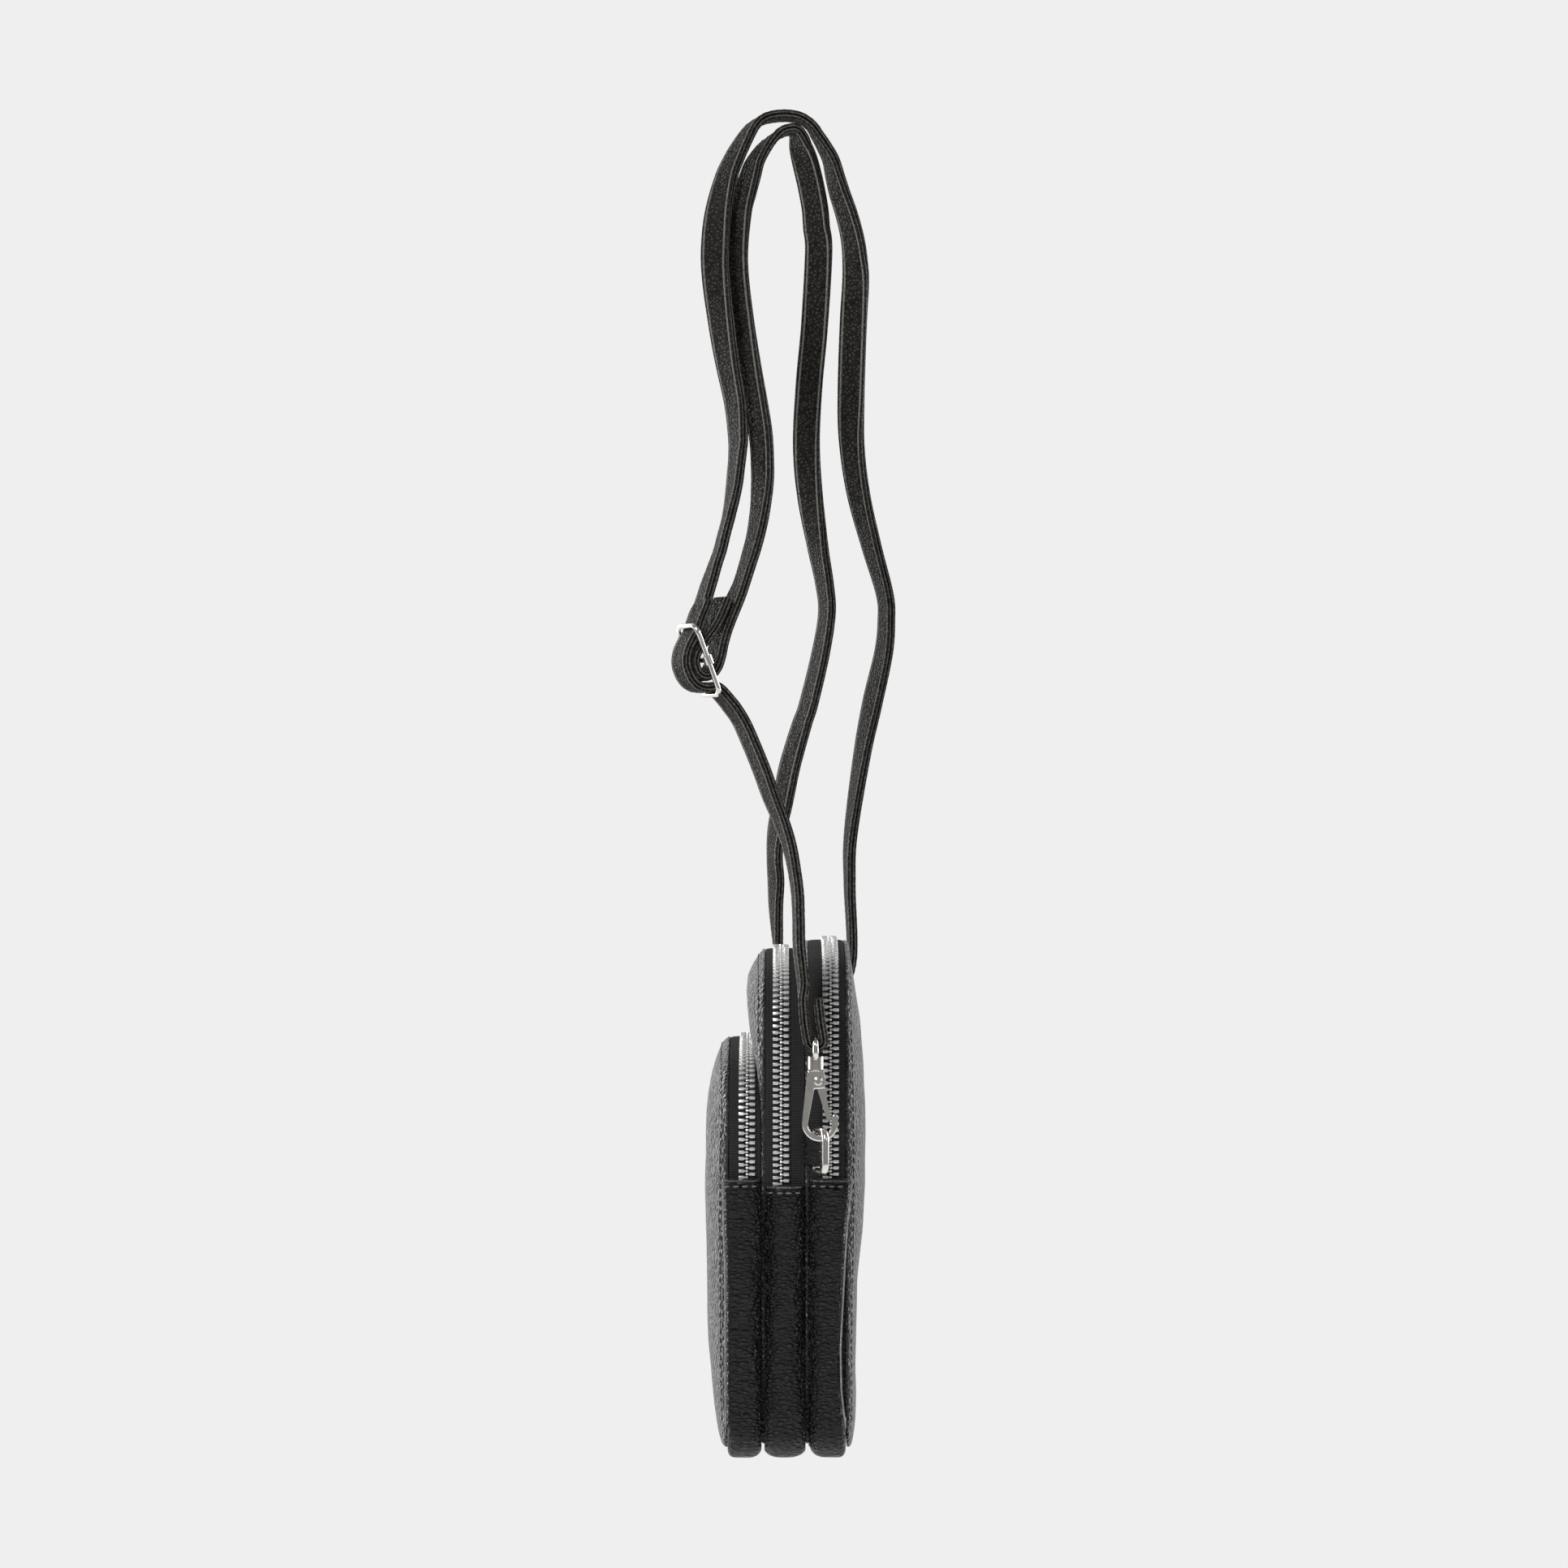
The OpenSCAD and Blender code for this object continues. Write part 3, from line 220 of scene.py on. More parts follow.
# ---------------------------------------------------------------- materials
def strap_bands(t, place, height, tone):
    """The strap's folded edges by the distance across it, in centimetres: bumped lines and grooves;
    light lines along the face's corners and on the lip, partly worn edge and partly painted highlight;
    and painted shade in the groove.
    """
    uv = node(t, "ShaderNodeUVMap", uv_map="flat")
    split = fed(t, "ShaderNodeSeparateXYZ", uv.outputs[0])
    across = math_node(t, "MULTIPLY", math_node(t, "ABSOLUTE", split.outputs[1]), 100.0)

    def band(*stops):
        return ramp(t, across, stops, "LINEAR")

    corner = band((0.335, 0.0), (0.35, 1.0), (0.415, 1.0), (0.43, 0.0))
    ridge = band((0.30, 0.0), (0.32, 0.7), (0.34, 0.0), (0.43, 0.7), (0.45, 0.0))
    side = band((0.50, 0.0), (0.53, 1.0))
    lip = band((0.545, 0.0), (0.565, 1.0), (0.58, 1.0), (0.60, 0.0))
    groove = band((0.61, 0.0), (0.65, 1.0))
    flake = fed(t, "ShaderNodeTexNoise", place, Scale=900.0, Detail=3.0)
    wear_and_highlight_flecks = ramp(t, flake.outputs["Fac"], [(0.35, 0.35), (0.6, 1.0)])
    calm = math_node(t, "SUBTRACT", 1.0, math_node(t, "MULTIPLY", side, 0.7))
    height = math_node(t, "MULTIPLY", height, calm)
    height = math_node(t, "ADD", height, math_node(t, "MULTIPLY", ridge, 0.6))
    height = math_node(t, "SUBTRACT", height, math_node(t, "MULTIPLY", groove, 1.2))
    # Painted shade: the colour darkens in the groove at the middle of the side, where the two layers
    # meet.
    shade = math_node(t, "SUBTRACT", 1.0, math_node(t, "MULTIPLY", groove, 0.5))
    tone = weighted(t, (math_node(t, "MULTIPLY", tone, shade), 0.27), (side, 0.02))
    tone = math_node(t, "ADD", tone, 0.19)
    # Painted highlight: light lines along the face's corners and on the lip, where the edges catch the
    # light, broken up in flecks like wear.
    lift = weighted(t, (corner, 0.9), (lip, 0.30))
    return height, math_node(t, "ADD", tone, math_node(t, "MULTIPLY", lift, wear_and_highlight_flecks), clamp=True)


def leather(name, dark, light, pebble, depth, rough, stretch=(1, 1, 1), shine=0.5, bands=False,
            creases=0.0):
    """Pebbled leather. The size of a pebble and the depth of the grain are in metres."""
    m, t, b = material(name)
    place = node(t, "ShaderNodeTexCoord").outputs["Object"]
    scaled = fed(t, "ShaderNodeVectorMath", place, operation="MULTIPLY")
    scaled.inputs[1].default_value = stretch
    scaled = scaled.outputs[0]
    warp = fed(t, "ShaderNodeTexNoise", scaled, Scale=1 / (pebble * 2.2), Detail=2.0)
    shift = fed(t, "ShaderNodeVectorMath", warp.outputs["Color"], operation="SCALE", Scale=pebble * 0.8)
    warped = fed(t, "ShaderNodeVectorMath", scaled, operation="ADD")
    t.links.new(shift.outputs[0], warped.inputs[1])
    warped = warped.outputs[0]
    cells = fed(t, "ShaderNodeTexVoronoi", warped, feature="DISTANCE_TO_EDGE", Scale=1 / pebble)
    pebbles = ramp(t, cells.outputs["Distance"], [(0.0, 0.0), (0.3, 1.0)])
    hearts = fed(t, "ShaderNodeTexVoronoi", warped, feature="F1", Scale=1 / pebble)
    dome = ramp(t, hearts.outputs["Distance"], [(0.05, 1.0), (0.62, 0.0)])
    fine = fed(t, "ShaderNodeTexNoise", place, Scale=5 / pebble, Detail=4.0, Roughness=0.6)
    fine = fine.outputs["Fac"]
    broad = fed(t, "ShaderNodeTexNoise", scaled, Scale=0.3 / pebble, Detail=3.0, Roughness=0.6)
    broad = broad.outputs["Fac"]
    height = weighted(t, (pebbles, 0.35), (dome, 0.65), (fine, 0.16), (broad, 1.1))
    # The tone is partly the grain's own random variation (broad) and partly painted light: darker in
    # the pebbles' valleys as painted shade, lighter on their domes as painted highlight.
    tone = weighted(t, (pebbles, 0.25), (dome, 0.45), (broad, 0.3))
    if bands:
        height, tone = strap_bands(t, place, height, tone)
    if creases:
        bent = fed(t, "ShaderNodeVectorMath", place, operation="MULTIPLY")
        bent.inputs[1].default_value = (1, 0.16, 2.6)
        bend = fed(t, "ShaderNodeTexNoise", bent.outputs[0], Scale=0.16 / pebble, Detail=3.0,
                   Roughness=0.55)
        height = math_node(t, "ADD", height, math_node(t, "MULTIPLY", bend.outputs["Fac"], creases))
    bumped(t, b, height, 1.0, depth)
    t.links.new(ramp(t, tone, [(0.2, dark), (0.85, light)], "LINEAR"), b.inputs["Base Color"])
    gloss = weighted(t, (fine, 0.12), (pebbles, -0.16))
    t.links.new(math_node(t, "ADD", gloss, rough, clamp=True), b.inputs["Roughness"])
    b.inputs["IOR"].default_value = 1.5
    b.inputs["Specular IOR Level"].default_value = shine
    return m


def ribbed(name, dark, light, pitch, depth):
    """Woven tape, with ribs across it and finer ones along it."""
    m, t, b = material(name)
    uv = node(t, "ShaderNodeUVMap", uv_map="flat")
    split = fed(t, "ShaderNodeSeparateXYZ", uv.outputs[0])
    turns = 2 * math.pi / pitch, 2 * math.pi / (pitch * 1.25)
    rib = math_node(t, "SINE", math_node(t, "MULTIPLY", split.outputs[0], turns[0]))
    wale = math_node(t, "SINE", math_node(t, "MULTIPLY", split.outputs[1], turns[1]))
    place = node(t, "ShaderNodeTexCoord").outputs["Object"]
    fuzz = fed(t, "ShaderNodeTexNoise", place, Scale=2500.0, Detail=3.0)
    cross = math_node(t, "MULTIPLY", rib, wale)
    height = weighted(t, (rib, 0.5), (cross, 0.28), (fuzz.outputs["Fac"], 0.5))
    bumped(t, b, height, 1.0, depth)
    tone = math_node(t, "ADD", math_node(t, "MULTIPLY", height, 0.3), 0.35)
    t.links.new(ramp(t, tone, [(0.1, dark), (0.9, light)], "LINEAR"), b.inputs["Base Color"])
    b.inputs["Roughness"].default_value = 0.85
    b.inputs["Specular IOR Level"].default_value = 0.25
    return m


def metal(name, color, rough, solid=1.0, rounded=0.0):
    """Polished metal. What rounds its edges in the light is a radius in metres."""
    m, t, b = material(name)
    place = node(t, "ShaderNodeTexCoord").outputs["Object"]
    cloud = fed(t, "ShaderNodeTexNoise", place, Scale=260.0, Detail=4.0, Roughness=0.6)
    cloud = cloud.outputs["Fac"]
    b.inputs["Metallic"].default_value = solid
    gloss = math_node(t, "ADD", math_node(t, "MULTIPLY", cloud, 0.12), rough - 0.06, clamp=True)
    t.links.new(gloss, b.inputs["Roughness"])
    lighter = tuple(min(1.0, c * 1.05) for c in color)
    darker = tuple(c * 0.9 for c in color)
    t.links.new(ramp(t, cloud, [(0.3, darker), (0.7, lighter)], "LINEAR"), b.inputs["Base Color"])
    grain = fed(t, "ShaderNodeTexNoise", place, Scale=3000.0, Detail=2.0)
    bump = bumped(t, b, grain.outputs["Fac"], 0.02, 0.0001)
    if rounded:
        edge = node(t, "ShaderNodeBevel", Radius=rounded, samples=16)
        t.links.new(edge.outputs[0], bump.inputs["Normal"])
    return m


def thread(name, color):
    m, t, b = material(name)
    place = node(t, "ShaderNodeTexCoord").outputs["Object"]
    twist = fed(t, "ShaderNodeTexNoise", place, Scale=4000.0, Detail=3.0).outputs["Fac"]
    darker = tuple(c * 0.6 for c in color)
    t.links.new(ramp(t, twist, [(0.3, darker), (0.7, color)]), b.inputs["Base Color"])
    bumped(t, b, twist, 0.6, 0.0001)
    b.inputs["Roughness"].default_value = 0.6
    return m


POUCH = leather("pouch_leather_grain", 0.014, 0.038, pebble=0.0018, depth=0.0013, rough=0.40)
pouch_inputs = POUCH.node_tree.nodes["Principled BSDF"].inputs
pouch_inputs["Sheen Weight"].default_value = 0.4
pouch_inputs["Sheen Roughness"].default_value = 0.35
GUSSET = leather("gusset_leather_grain", 0.001, (0.026, 0.026, 0.027), pebble=0.0015, depth=0.0018,
                 rough=0.38, stretch=(1, 0.5, 1.15), shine=0.45, creases=2.0)
STRAP = leather("strap_leather_grain", (0.001, 0.0009, 0.0008), (0.20, 0.19, 0.175), pebble=0.0013,
                depth=0.0006, rough=0.60, shine=0.08, bands=True)
# Light grey leather for painted highlights along the gussets' outer edges
EDGE = leather("gusset_edge_highlight", 0.20, 0.36, pebble=0.0022, depth=0.00005, rough=0.35)
# Lighter leather for painted highlights along the hems' top folds
HEM_HIGHLIGHT = leather("hem_fold_highlight", 0.05, 0.17, pebble=0.0016, depth=0.0002, rough=0.25)
TAPE = ribbed("zip_tape_weave", 0.010, (0.045, 0.045, 0.046), 0.0009, 0.0003)
TEETH = metal("zip_teeth_nickel", (0.84, 0.84, 0.83), 0.28, solid=0.7)
NICKEL = metal("hardware_nickel", (0.88, 0.85, 0.80), 0.17)
HOOK_NICKEL = metal("hook_nickel", (0.90, 0.87, 0.82), 0.17, rounded=0.0010)
ZIP_NICKEL = metal("zip_nickel", (0.80, 0.79, 0.76), 0.14)
STEEL = metal("rivet_steel_polish", (0.90, 0.88, 0.85), 0.14, rounded=0.0006)
THREAD = thread("thread_black", (0.022, 0.022, 0.022))
HEM_THREAD = thread("thread_hem", (0.21, 0.21, 0.21))
LIGHT_THREAD = thread("thread_strap", (0.24, 0.22, 0.20))


# ---------------------------------------------------------------- the pouch's outlines
def top_of(x, height):
    ax = np.abs(x)
    leg = height - CROWN_RISE
    cx = PANEL_HALF - TOP_R
    tangent = cx + TOP_R * math.sin(math.radians(TILT))
    crown = leg - CROWN_DROP + np.sqrt(np.maximum(0, CROWN_R ** 2 - ax ** 2))
    corner = leg + np.sqrt(np.maximum(0, TOP_R * TOP_R - np.maximum(0, ax - cx) ** 2))
    return np.where(ax < tangent, crown, corner)


def foot_of(x):
    past = np.maximum(0, np.abs(x) - (PANEL_HALF - FOOT_R))
    return FOOT + FOOT_R - np.sqrt(np.maximum(0, FOOT_R ** 2 - past ** 2))


def inset_of(x, z, height):
    """Distance inward from the panel's outline."""
    ax = np.abs(x)
    leg = height - CROWN_RISE
    d = PANEL_HALF - ax
    dx, dz = ax - (PANEL_HALF - TOP_R), z - leg
    turned = np.arctan2(dz, np.maximum(dx, 1e-9)) < math.radians(90 - TILT)
    in_corner = (dz > 0) & (dx > 0) & turned
    d = np.where(in_corner, TOP_R - np.hypot(dx, dz), d)
    over = (dz > 0) & ~in_corner
    d = np.where(over, CROWN_R - np.hypot(ax, z - (leg - CROWN_DROP)), d)
    bx, bz = ax - (PANEL_HALF - FOOT_R), z - (FOOT + FOOT_R)
    bottom = np.where(bx > 0, FOOT_R - np.hypot(np.maximum(bx, 0), bz), z - FOOT)
    return np.where(bz < 0, np.minimum(d, bottom), d)


def zip_path(height, hem, inset=LIP):
    """Sampled path round the top: distance along, and x, z, outward x, outward z."""
    leg = height - CROWN_RISE
    r, cx = TOP_R - inset, PANEL_HALF - TOP_R
    half = [(PANEL_HALF - inset, z, 1, 0) for z in np.linspace(hem, leg, 60)]
    for a in np.radians(np.linspace(0, 90 - TILT, 60)[1:]):
        c, s = math.cos(a), math.sin(a)
        half.append((cx + r * c, leg + r * s, c, s))
    for a in np.radians(np.linspace(90 - TILT, 90, 30)[1:]):
        c, s = math.cos(a), math.sin(a)
        half.append(((CROWN_R - inset) * c, leg - CROWN_DROP + (CROWN_R - inset) * s, c, s))
    path = np.array(half + [(-p[0], p[1], -p[2], p[3]) for p in half[-2::-1]])
    along = np.concatenate([[0], np.cumsum(np.hypot(*np.diff(path[:, :2], axis=0).T))])
    return along, path


def at(along, path, d):
    """Place, outward way and way along at a distance on a path."""
    v = np.array([np.interp(d, along, path[:, k]) for k in range(4)])
    n = v[2:] / np.linalg.norm(v[2:])
    return v[:2], n, np.array([-n[1], n[0]])


def stitches(name, places, ways, normals, length, wide, high, body, slot, look):
    """Raised stitches, one small rounded bar at each place. Their sizes are in metres."""
    places, ways, normals = (np.asarray(v, float) for v in (places, ways, normals))
    sides = np.cross(normals, ways)
    points, faces = [], []
    profile = [(-0.5, 0.12), (-0.42, 0.6), (-0.2, 0.95), (0.2, 0.95), (0.42, 0.6), (0.5, 0.12)]
    angles = np.linspace(0, 2 * math.pi, 8, endpoint=False)
    for p, w, n, a in zip(places, ways, normals, sides):
        start = len(points)
        for share, size in profile:
            middle = p + w * share * length
            for q in angles:
                points.append(middle + a * (wide / 2 * size * math.cos(q))
                              + n * (high * size * math.sin(q)))
        faces += tube_faces(len(profile), len(angles), start)
    make(name, points, faces, look, body, ())


# ---------------------------------------------------------------- panels
FINE = np.array([0, 0.1, 0.25, 0.45, 0.7, 1.0, 1.5, 2.3, 3.4])      # places of rows near a rim
RIM = FINE[-1]
CREST_SHARE, FOOT_SHARE = 0.9, 0.12
panel_seam = ([], [], [])
hem_seam = ([], [], [])


def sew(seam, place, way, normal):
    for found, value in zip(seam, (to_row(place), way, normal)):
        found.append(value)


def panel_rows(height, xs, start, curve):
    """Heights of a panel's rows over its columns, and how far each swells."""
    foot, top = foot_of(xs), top_of(xs, height)
    if not start:
        rows = [foot + d for d in FINE]
        rows += [foot + RIM + (top - foot - 2 * RIM) * f for f in np.linspace(0, 1, 84)[1:-1]]
        rows += [top - d for d in FINE[::-1]]
        return np.array(rows), np.array([np.interp((z - foot) / (top - foot), *curve) for z in rows])
    low = top_of(xs, start)
    rows, swells = [], []
    for f in np.linspace(0, 1, 40)[:-1]:
        if f < FOOT_SHARE:
            rows.append(foot + FINE[min(8, int(round(f / FOOT_SHARE * 8)))])
        else:
            rows.append(foot + RIM + (low - foot - RIM) * (f - FOOT_SHARE) / (1 - FOOT_SHARE))
        swells.append(np.zeros_like(xs))
    for f in np.concatenate([np.linspace(0, 0.16, 14)[:-1], np.linspace(0.16, CREST_SHARE, 18)[:-1]]):
        rows.append(low + (top - low) * f)
        swells.append(np.full_like(xs, np.interp(f, *curve)))
    last = low + (top - low) * CREST_SHARE
    for d in FINE[::-1]:
        z = top - d * ((top - last) / 3.9).clip(0, 1)
        rows.append(z)
        swells.append(np.interp((z - low) / (top - low), *curve))
    return np.array(rows), np.array(swells)


def rolled(d, radius):
    """How far a rounded rim falls off, as a share, at a distance from the outline."""
    return 1 - np.sqrt(np.maximum(0, 1 - (1 - np.minimum(d, radius) / radius) ** 2))


def panel(name, height, wall, way, bulge, shares, start=0.0, wrinkle=0.25, seed=1):
    """A leather wall: its outer face swells, and its rims are rounded and drawn in."""
    thick = wall[1] - wall[0]
    right = np.concatenate([np.linspace(0, PANEL_HALF - 5, 30), PANEL_HALF - FINE[::-1]])
    xs = np.concatenate([-right[:0:-1], right])
    curve = eased(shares)
    z, swell = panel_rows(height, xs, start, curve)
    n, m = z.shape
    x = np.tile(xs, (n, 1))
    swell = swell.clip(0, 1.05)
    fx, fz = x.ravel(), z.ravel()
    d = inset_of(fx, fz, height).reshape(n, m).clip(0, None)
    roll, lining = 0.64 * thick * rolled(d, 2.4), 0.36 * thick * rolled(d, 0.6)
    out = wall[0] if way < 0 else wall[1]
    pts = np.stack([fx, np.zeros(x.size), fz], 1)
    soft = waves(pts, 34, seed) * 0.6 + waves(pts, 13, seed + 1) * 0.25
    fade = np.clip((d - 1.5) / 9, 0, 1) * np.clip(swell * 2.2, 0, 1)
    lift = bulge * swell * (1 - (np.abs(x) / PANEL_HALF) ** 4)
    y = out + way * (lift + wrinkle * soft.reshape(n, m) * fade)

    def slope(dx, dz, step=0.05):
        ahead = inset_of(fx + dx * step, fz + dz * step, height)
        behind = inset_of(fx - dx * step, fz - dz * step, height)
        return ((ahead - behind) / (2 * step)).reshape(n, m)

    inner_wall = wall in (MIDDLE_WALL, DIVIDER)
    deep = 1.15 * np.clip((HEM - 3 - z) / 6, 0, 1) if inner_wall else 0.0
    draw = (0.75 + deep) * np.exp(-(d / 2.2) ** 2)
    x, z = x + slope(1, 0) * draw, z + slope(0, 1) * draw
    outer = np.stack([x, y - way * roll, z], 2).reshape(-1, 3)
    inner = np.stack([x, y - way * (thick - lining), z], 2).reshape(-1, 3)
    faces = grid_faces(n, m, flip=way > 0) + grid_faces(n, m, start=n * m, flip=way < 0)
    make(name, to_row(np.concatenate([outer, inner])), faces, POUCH, "pouch",
         (name.removesuffix("_cover"),), weld=2e-6)
    if bulge:
        sew_panel(height, start, curve, out, way, bulge)


def sew_panel(height, start, curve, out, way, bulge, inset=3.0, seam_foot=14.0):
    """Stitches along a panel's edge, a little inside it, on its outer face."""
    along, path = zip_path(height, start * 0.999 if start else seam_foot, inset)
    for d in np.arange(1.0, along[-1] - 1, STITCH_PITCH):
        here, _, t = at(along, path, d)
        low = float(top_of(here[0], start)) if start else float(foot_of(here[0]))
        share = (here[1] - low) / (float(top_of(here[0], height)) - low)
        if share < 0.02:
            continue
        lift = bulge * np.interp(share, *curve) * (1 - (abs(here[0]) / PANEL_HALF) ** 4)
        sew(panel_seam, [here[0], out + way * (lift + 0.02), here[1]], (t[0], 0, t[1]), (0, way, 0))


# Each lists [share of the height, share of the swell], as the photograph's outline shows them
FRONT_SWELL = [[0, 0.1], [0.025, 0.34], [0.1, 0.58], [0.25, 0.83], [0.46, 0.92], [0.63, 1],
               [0.7, 0.96], [0.81, 0.91], [0.855, 0.83], [0.92, 0.62], [0.957, 0.4], [0.985, 0.15],
               [1, 0]]
BACK_SWELL = [[0, 0.16], [0.03, 0.34], [0.08, 0.46], [0.155, 0.38], [0.33, 0.5], [0.43, 0.82],
              [0.53, 0.97], [0.62, 1], [0.75, 0.88], [0.84, 0.66], [0.9, 0.42], [0.95, 0.2], [1, 0]]
CROWN_SWELL = [[0, 0], [0.03, 0.3], [0.08, 0.7], [0.15, 0.82], [0.33, 0.94], [0.5, 1],
               [0.69, 0.9], [0.76, 0.73], [0.83, 0.5], [0.9, 0.24], [0.96, 0.06], [1, 0]]
panel("front_panel_cover", FRONT, FRONT_WALL, -1, 7.6, FRONT_SWELL, seed=3)
panel("back_panel_cover", REAR, BACK_WALL, 1, 6.3, BACK_SWELL, seed=5)
panel("middle_front_panel_cover", MIDDLE, MIDDLE_WALL, -1, 5.4, CROWN_SWELL, start=FRONT + 0.9, seed=7)
panel("divider_panel_cover", REAR, DIVIDER, -1, 0.0, FRONT_SWELL, wrinkle=0.0)
stitches("panel_stitches", *panel_seam, 0.0021, 0.0006, 0.00022, "pouch", "pouch_leather", THREAD)

# ---------------------------------------------------------------- gussets
# Each has its top, its compartment's walls, places along Y of its near and far edge by height, as
# the photograph shows them, and how crisply each edge turns
GUSSETS = {
    "front_gusset": (HEM, FRONT_WALL[1], MIDDLE_WALL[0],
                     [[99, -21.5, -8.9], [84, -21.4, -7.9], [70, -20.9, -8.1], [55, -20.7, -8.7],
                      [40, -20.7, -8.8], [25, -20.7, -8.2], [10, -20.6, -8.0], [0, -20.3, -8.0]], 7, 3),
    "middle_gusset": (MIDDLE_HEM, MIDDLE_WALL[1], DIVIDER[0],
                      [[97, -6.3, 6.2], [84, -5.9, 6.7], [70, -5.5, 6.3], [55, -5.9, 6.1],
                       [40, -6.2, 6.0], [25, -7.0, 6.7], [18, -7.4, 7.4], [10, -7.6, 7.7],
                       [0, -7.5, 7.6]], 3, 3),
    "rear_gusset": (HEM, DIVIDER[1], BACK_WALL[0],
                    [[99, 8.9, 23.5], [84, 8.6, 21.8], [70, 8.9, 20.9], [55, 8.7, 20.1],
                     [40, 8.9, 19.3], [25, 8.9, 19.6], [18, 8.9, 20.4], [10, 9.2, 21.4],
                     [0, 8.9, 21.5]], 3, 7)}
HEM_HEIGHT, HEM_BEAD, HEM_DIP, HEM_SEAM = 8, 0.85, 2.45, 2.4      # depths below the top
LEATHER, TUCK = 1.4, 0.9
edge_highlight_paths = {"front_gusset": [], "rear_gusset": []}
hem_highlight_paths = {}


def gusset_path(top):
    """x, z, outward x, outward z, height for the table or 0, side."""
    near = [(SEAM_HALF, z, 1, 0, z, 1) for z in np.linspace(top, top - HEM_HEIGHT, 33)]
    near += [(SEAM_HALF, z, 1, 0, z, 1)
             for z in np.linspace(top - HEM_HEIGHT, SWELL + FOOT_R, 74)[1:]]
    for a in np.radians(np.linspace(0, -90, 15)[1:]):
        c, s = math.cos(a), math.sin(a)
        near.append((SEAM_HALF - FOOT_R + FOOT_R * c, SWELL + FOOT_R + FOOT_R * s, c, s, 0, 1))
    flat = np.linspace(SEAM_HALF - FOOT_R, -SEAM_HALF + FOOT_R, 50)[1:-1]
    return (near + [(x, SWELL, 0, -1, 0, x / 60) for x in flat]
            + [(-p[0], p[1], -p[2], p[3], p[4], -1) for p in near[::-1]])


def gusset(name, top, lo, hi, edges, crisp_lo, crisp_hi, seed):
    """A closed strip round a compartment, swollen outward between its seams."""
    edges = np.array(edges[::-1])
    path = gusset_path(top)
    s = -np.cos(np.linspace(0, math.pi, 33))
    s = np.sign(s) * np.abs(s) ** 0.8
    crisp = np.where(s < 0, crisp_lo, crisp_hi)
    swell = SWELL * np.power(np.maximum(0, 1 - np.abs(s) ** crisp), 0.62)
    by_seam = np.abs(s) ** 2 * (1 - np.abs(s) ** 8)
    rings, uvs, along = [], [], 0.0
    for k, (x, z, nx, nz, level, side) in enumerate(path):
        if k:
            along += math.hypot(x - path[k - 1][0], z - path[k - 1][1])
        looked_up = level if side > 0 else min(99, level * 0.94 + 5 * math.sin(level / 17))
        e0 = np.interp(looked_up, edges[:, 0], edges[:, 1])
        e1 = np.interp(looked_up, edges[:, 0], edges[:, 2])
        below = top - z if level else 99
        bead = 0.8 * math.exp(-((below - HEM_BEAD) / 0.6) ** 2)
        dip = -0.4 * math.exp(-((below - HEM_DIP) / 0.6) ** 2)
        turn = max(0.0, 1 - below / 0.8)
        round_top = 0.8 * (1 - math.sqrt(max(0, 1 - turn ** 2)))
        y = e0 + (e1 - e0) * (s + 1) / 2
        pts = np.stack([np.full_like(s, along), y, np.full_like(s, seed * 31.0)], 1)
        wrinkle = (0.22 * waves(pts * [1, 0.35, 1], 6.5, seed) * by_seam
                   + 0.16 * waves(pts, 17, seed + 1) * (1 - s ** 4))
        out = swell + bead + dip + wrinkle * (1 - turn) - round_top
        inner = np.minimum(swell - LEATHER + round_top * 0.75, -LEATHER)
        lay_y = np.clip(y, lo + 0.1, hi - 0.1)
        outer_y = y + (lay_y - y) * np.clip(1 - (out + 0.2) / 1.3, 0, 1)
        section = [(-TUCK, lo + 0.02), (-TUCK / 2, lo + 0.02), *zip(out, outer_y),
                   (-TUCK / 2, hi - 0.02), (-TUCK, hi - 0.02), *zip(inner[::-1], lay_y[::-1])]
        rings += [(x + nx * o, yy, z + nz * o) for o, yy in section]
        uvs += [(along * MM, yy * MM) for _, yy in section]
        if not level:
            continue
        if abs(below - HEM_SEAM) < 0.13:
            for yy in np.arange(e0 + 1.5, e1 - 1.0, STITCH_PITCH):
                o = float(np.interp(yy, y, out)) + 0.02
                sew(hem_seam, [x + nx * o, yy, z], (0, 1, 0), (nx, 0, 0))
        # Painted highlight: a lighter line along the hem's top fold, standing in for its glint.
        if 0.3 < below < 0.55:
            fold = [(x + nx * (o + 0.12), yy, z) for o, yy in zip(out, outer_y)]
            hem_highlight_paths.setdefault((name, side), fold[1:-1])
        # Painted highlight: a light line just outside the front gusset's edge by the front panel and
        # the rear gusset's edge by the back panel, standing in for the light the fold catches.
        if side == 1 and name in edge_highlight_paths:
            e = e0 - 0.1 if name == "front_gusset" else e1 + 0.1
            edge_highlight_paths[name].append((x + nx * (2.5 - 0.5 * turn), e, z + nz * 2.5))
    make(name + "_cover", to_row(rings), tube_faces(len(path), 2 * len(s) + 4), GUSSET, "pouch",
         (name,), uvs)


def wire(name, places, radius, look, body, sides=8):
    """A thin round line through a list of places."""
    places = np.asarray(places, float)
    way = np.gradient(places, axis=0)
    way /= np.linalg.norm(way, axis=1)[:, None]
    side = np.cross(way, [0.3, 1.0, 0] if abs(way[0][1]) < 0.5 else [0, 0.0, 1.0])
    side /= np.linalg.norm(side, axis=1)[:, None]
    up = np.cross(side, way)
    ring = [(math.cos(a), math.sin(a)) for a in np.linspace(0, 2 * math.pi, sides, endpoint=False)]
    points = [p + radius * (c * u + q * v) for p, u, v in zip(places, side, up) for c, q in ring]
    make(name, to_row(points), tube_faces(len(places), sides), look, body, ())


for k, (name, values) in enumerate(GUSSETS.items()):
    gusset(name, *values, 11 + k)
stitches("hem_stitches", *hem_seam, 0.0021, 0.0007, 0.00034, "pouch", "pouch_leather", HEM_THREAD)
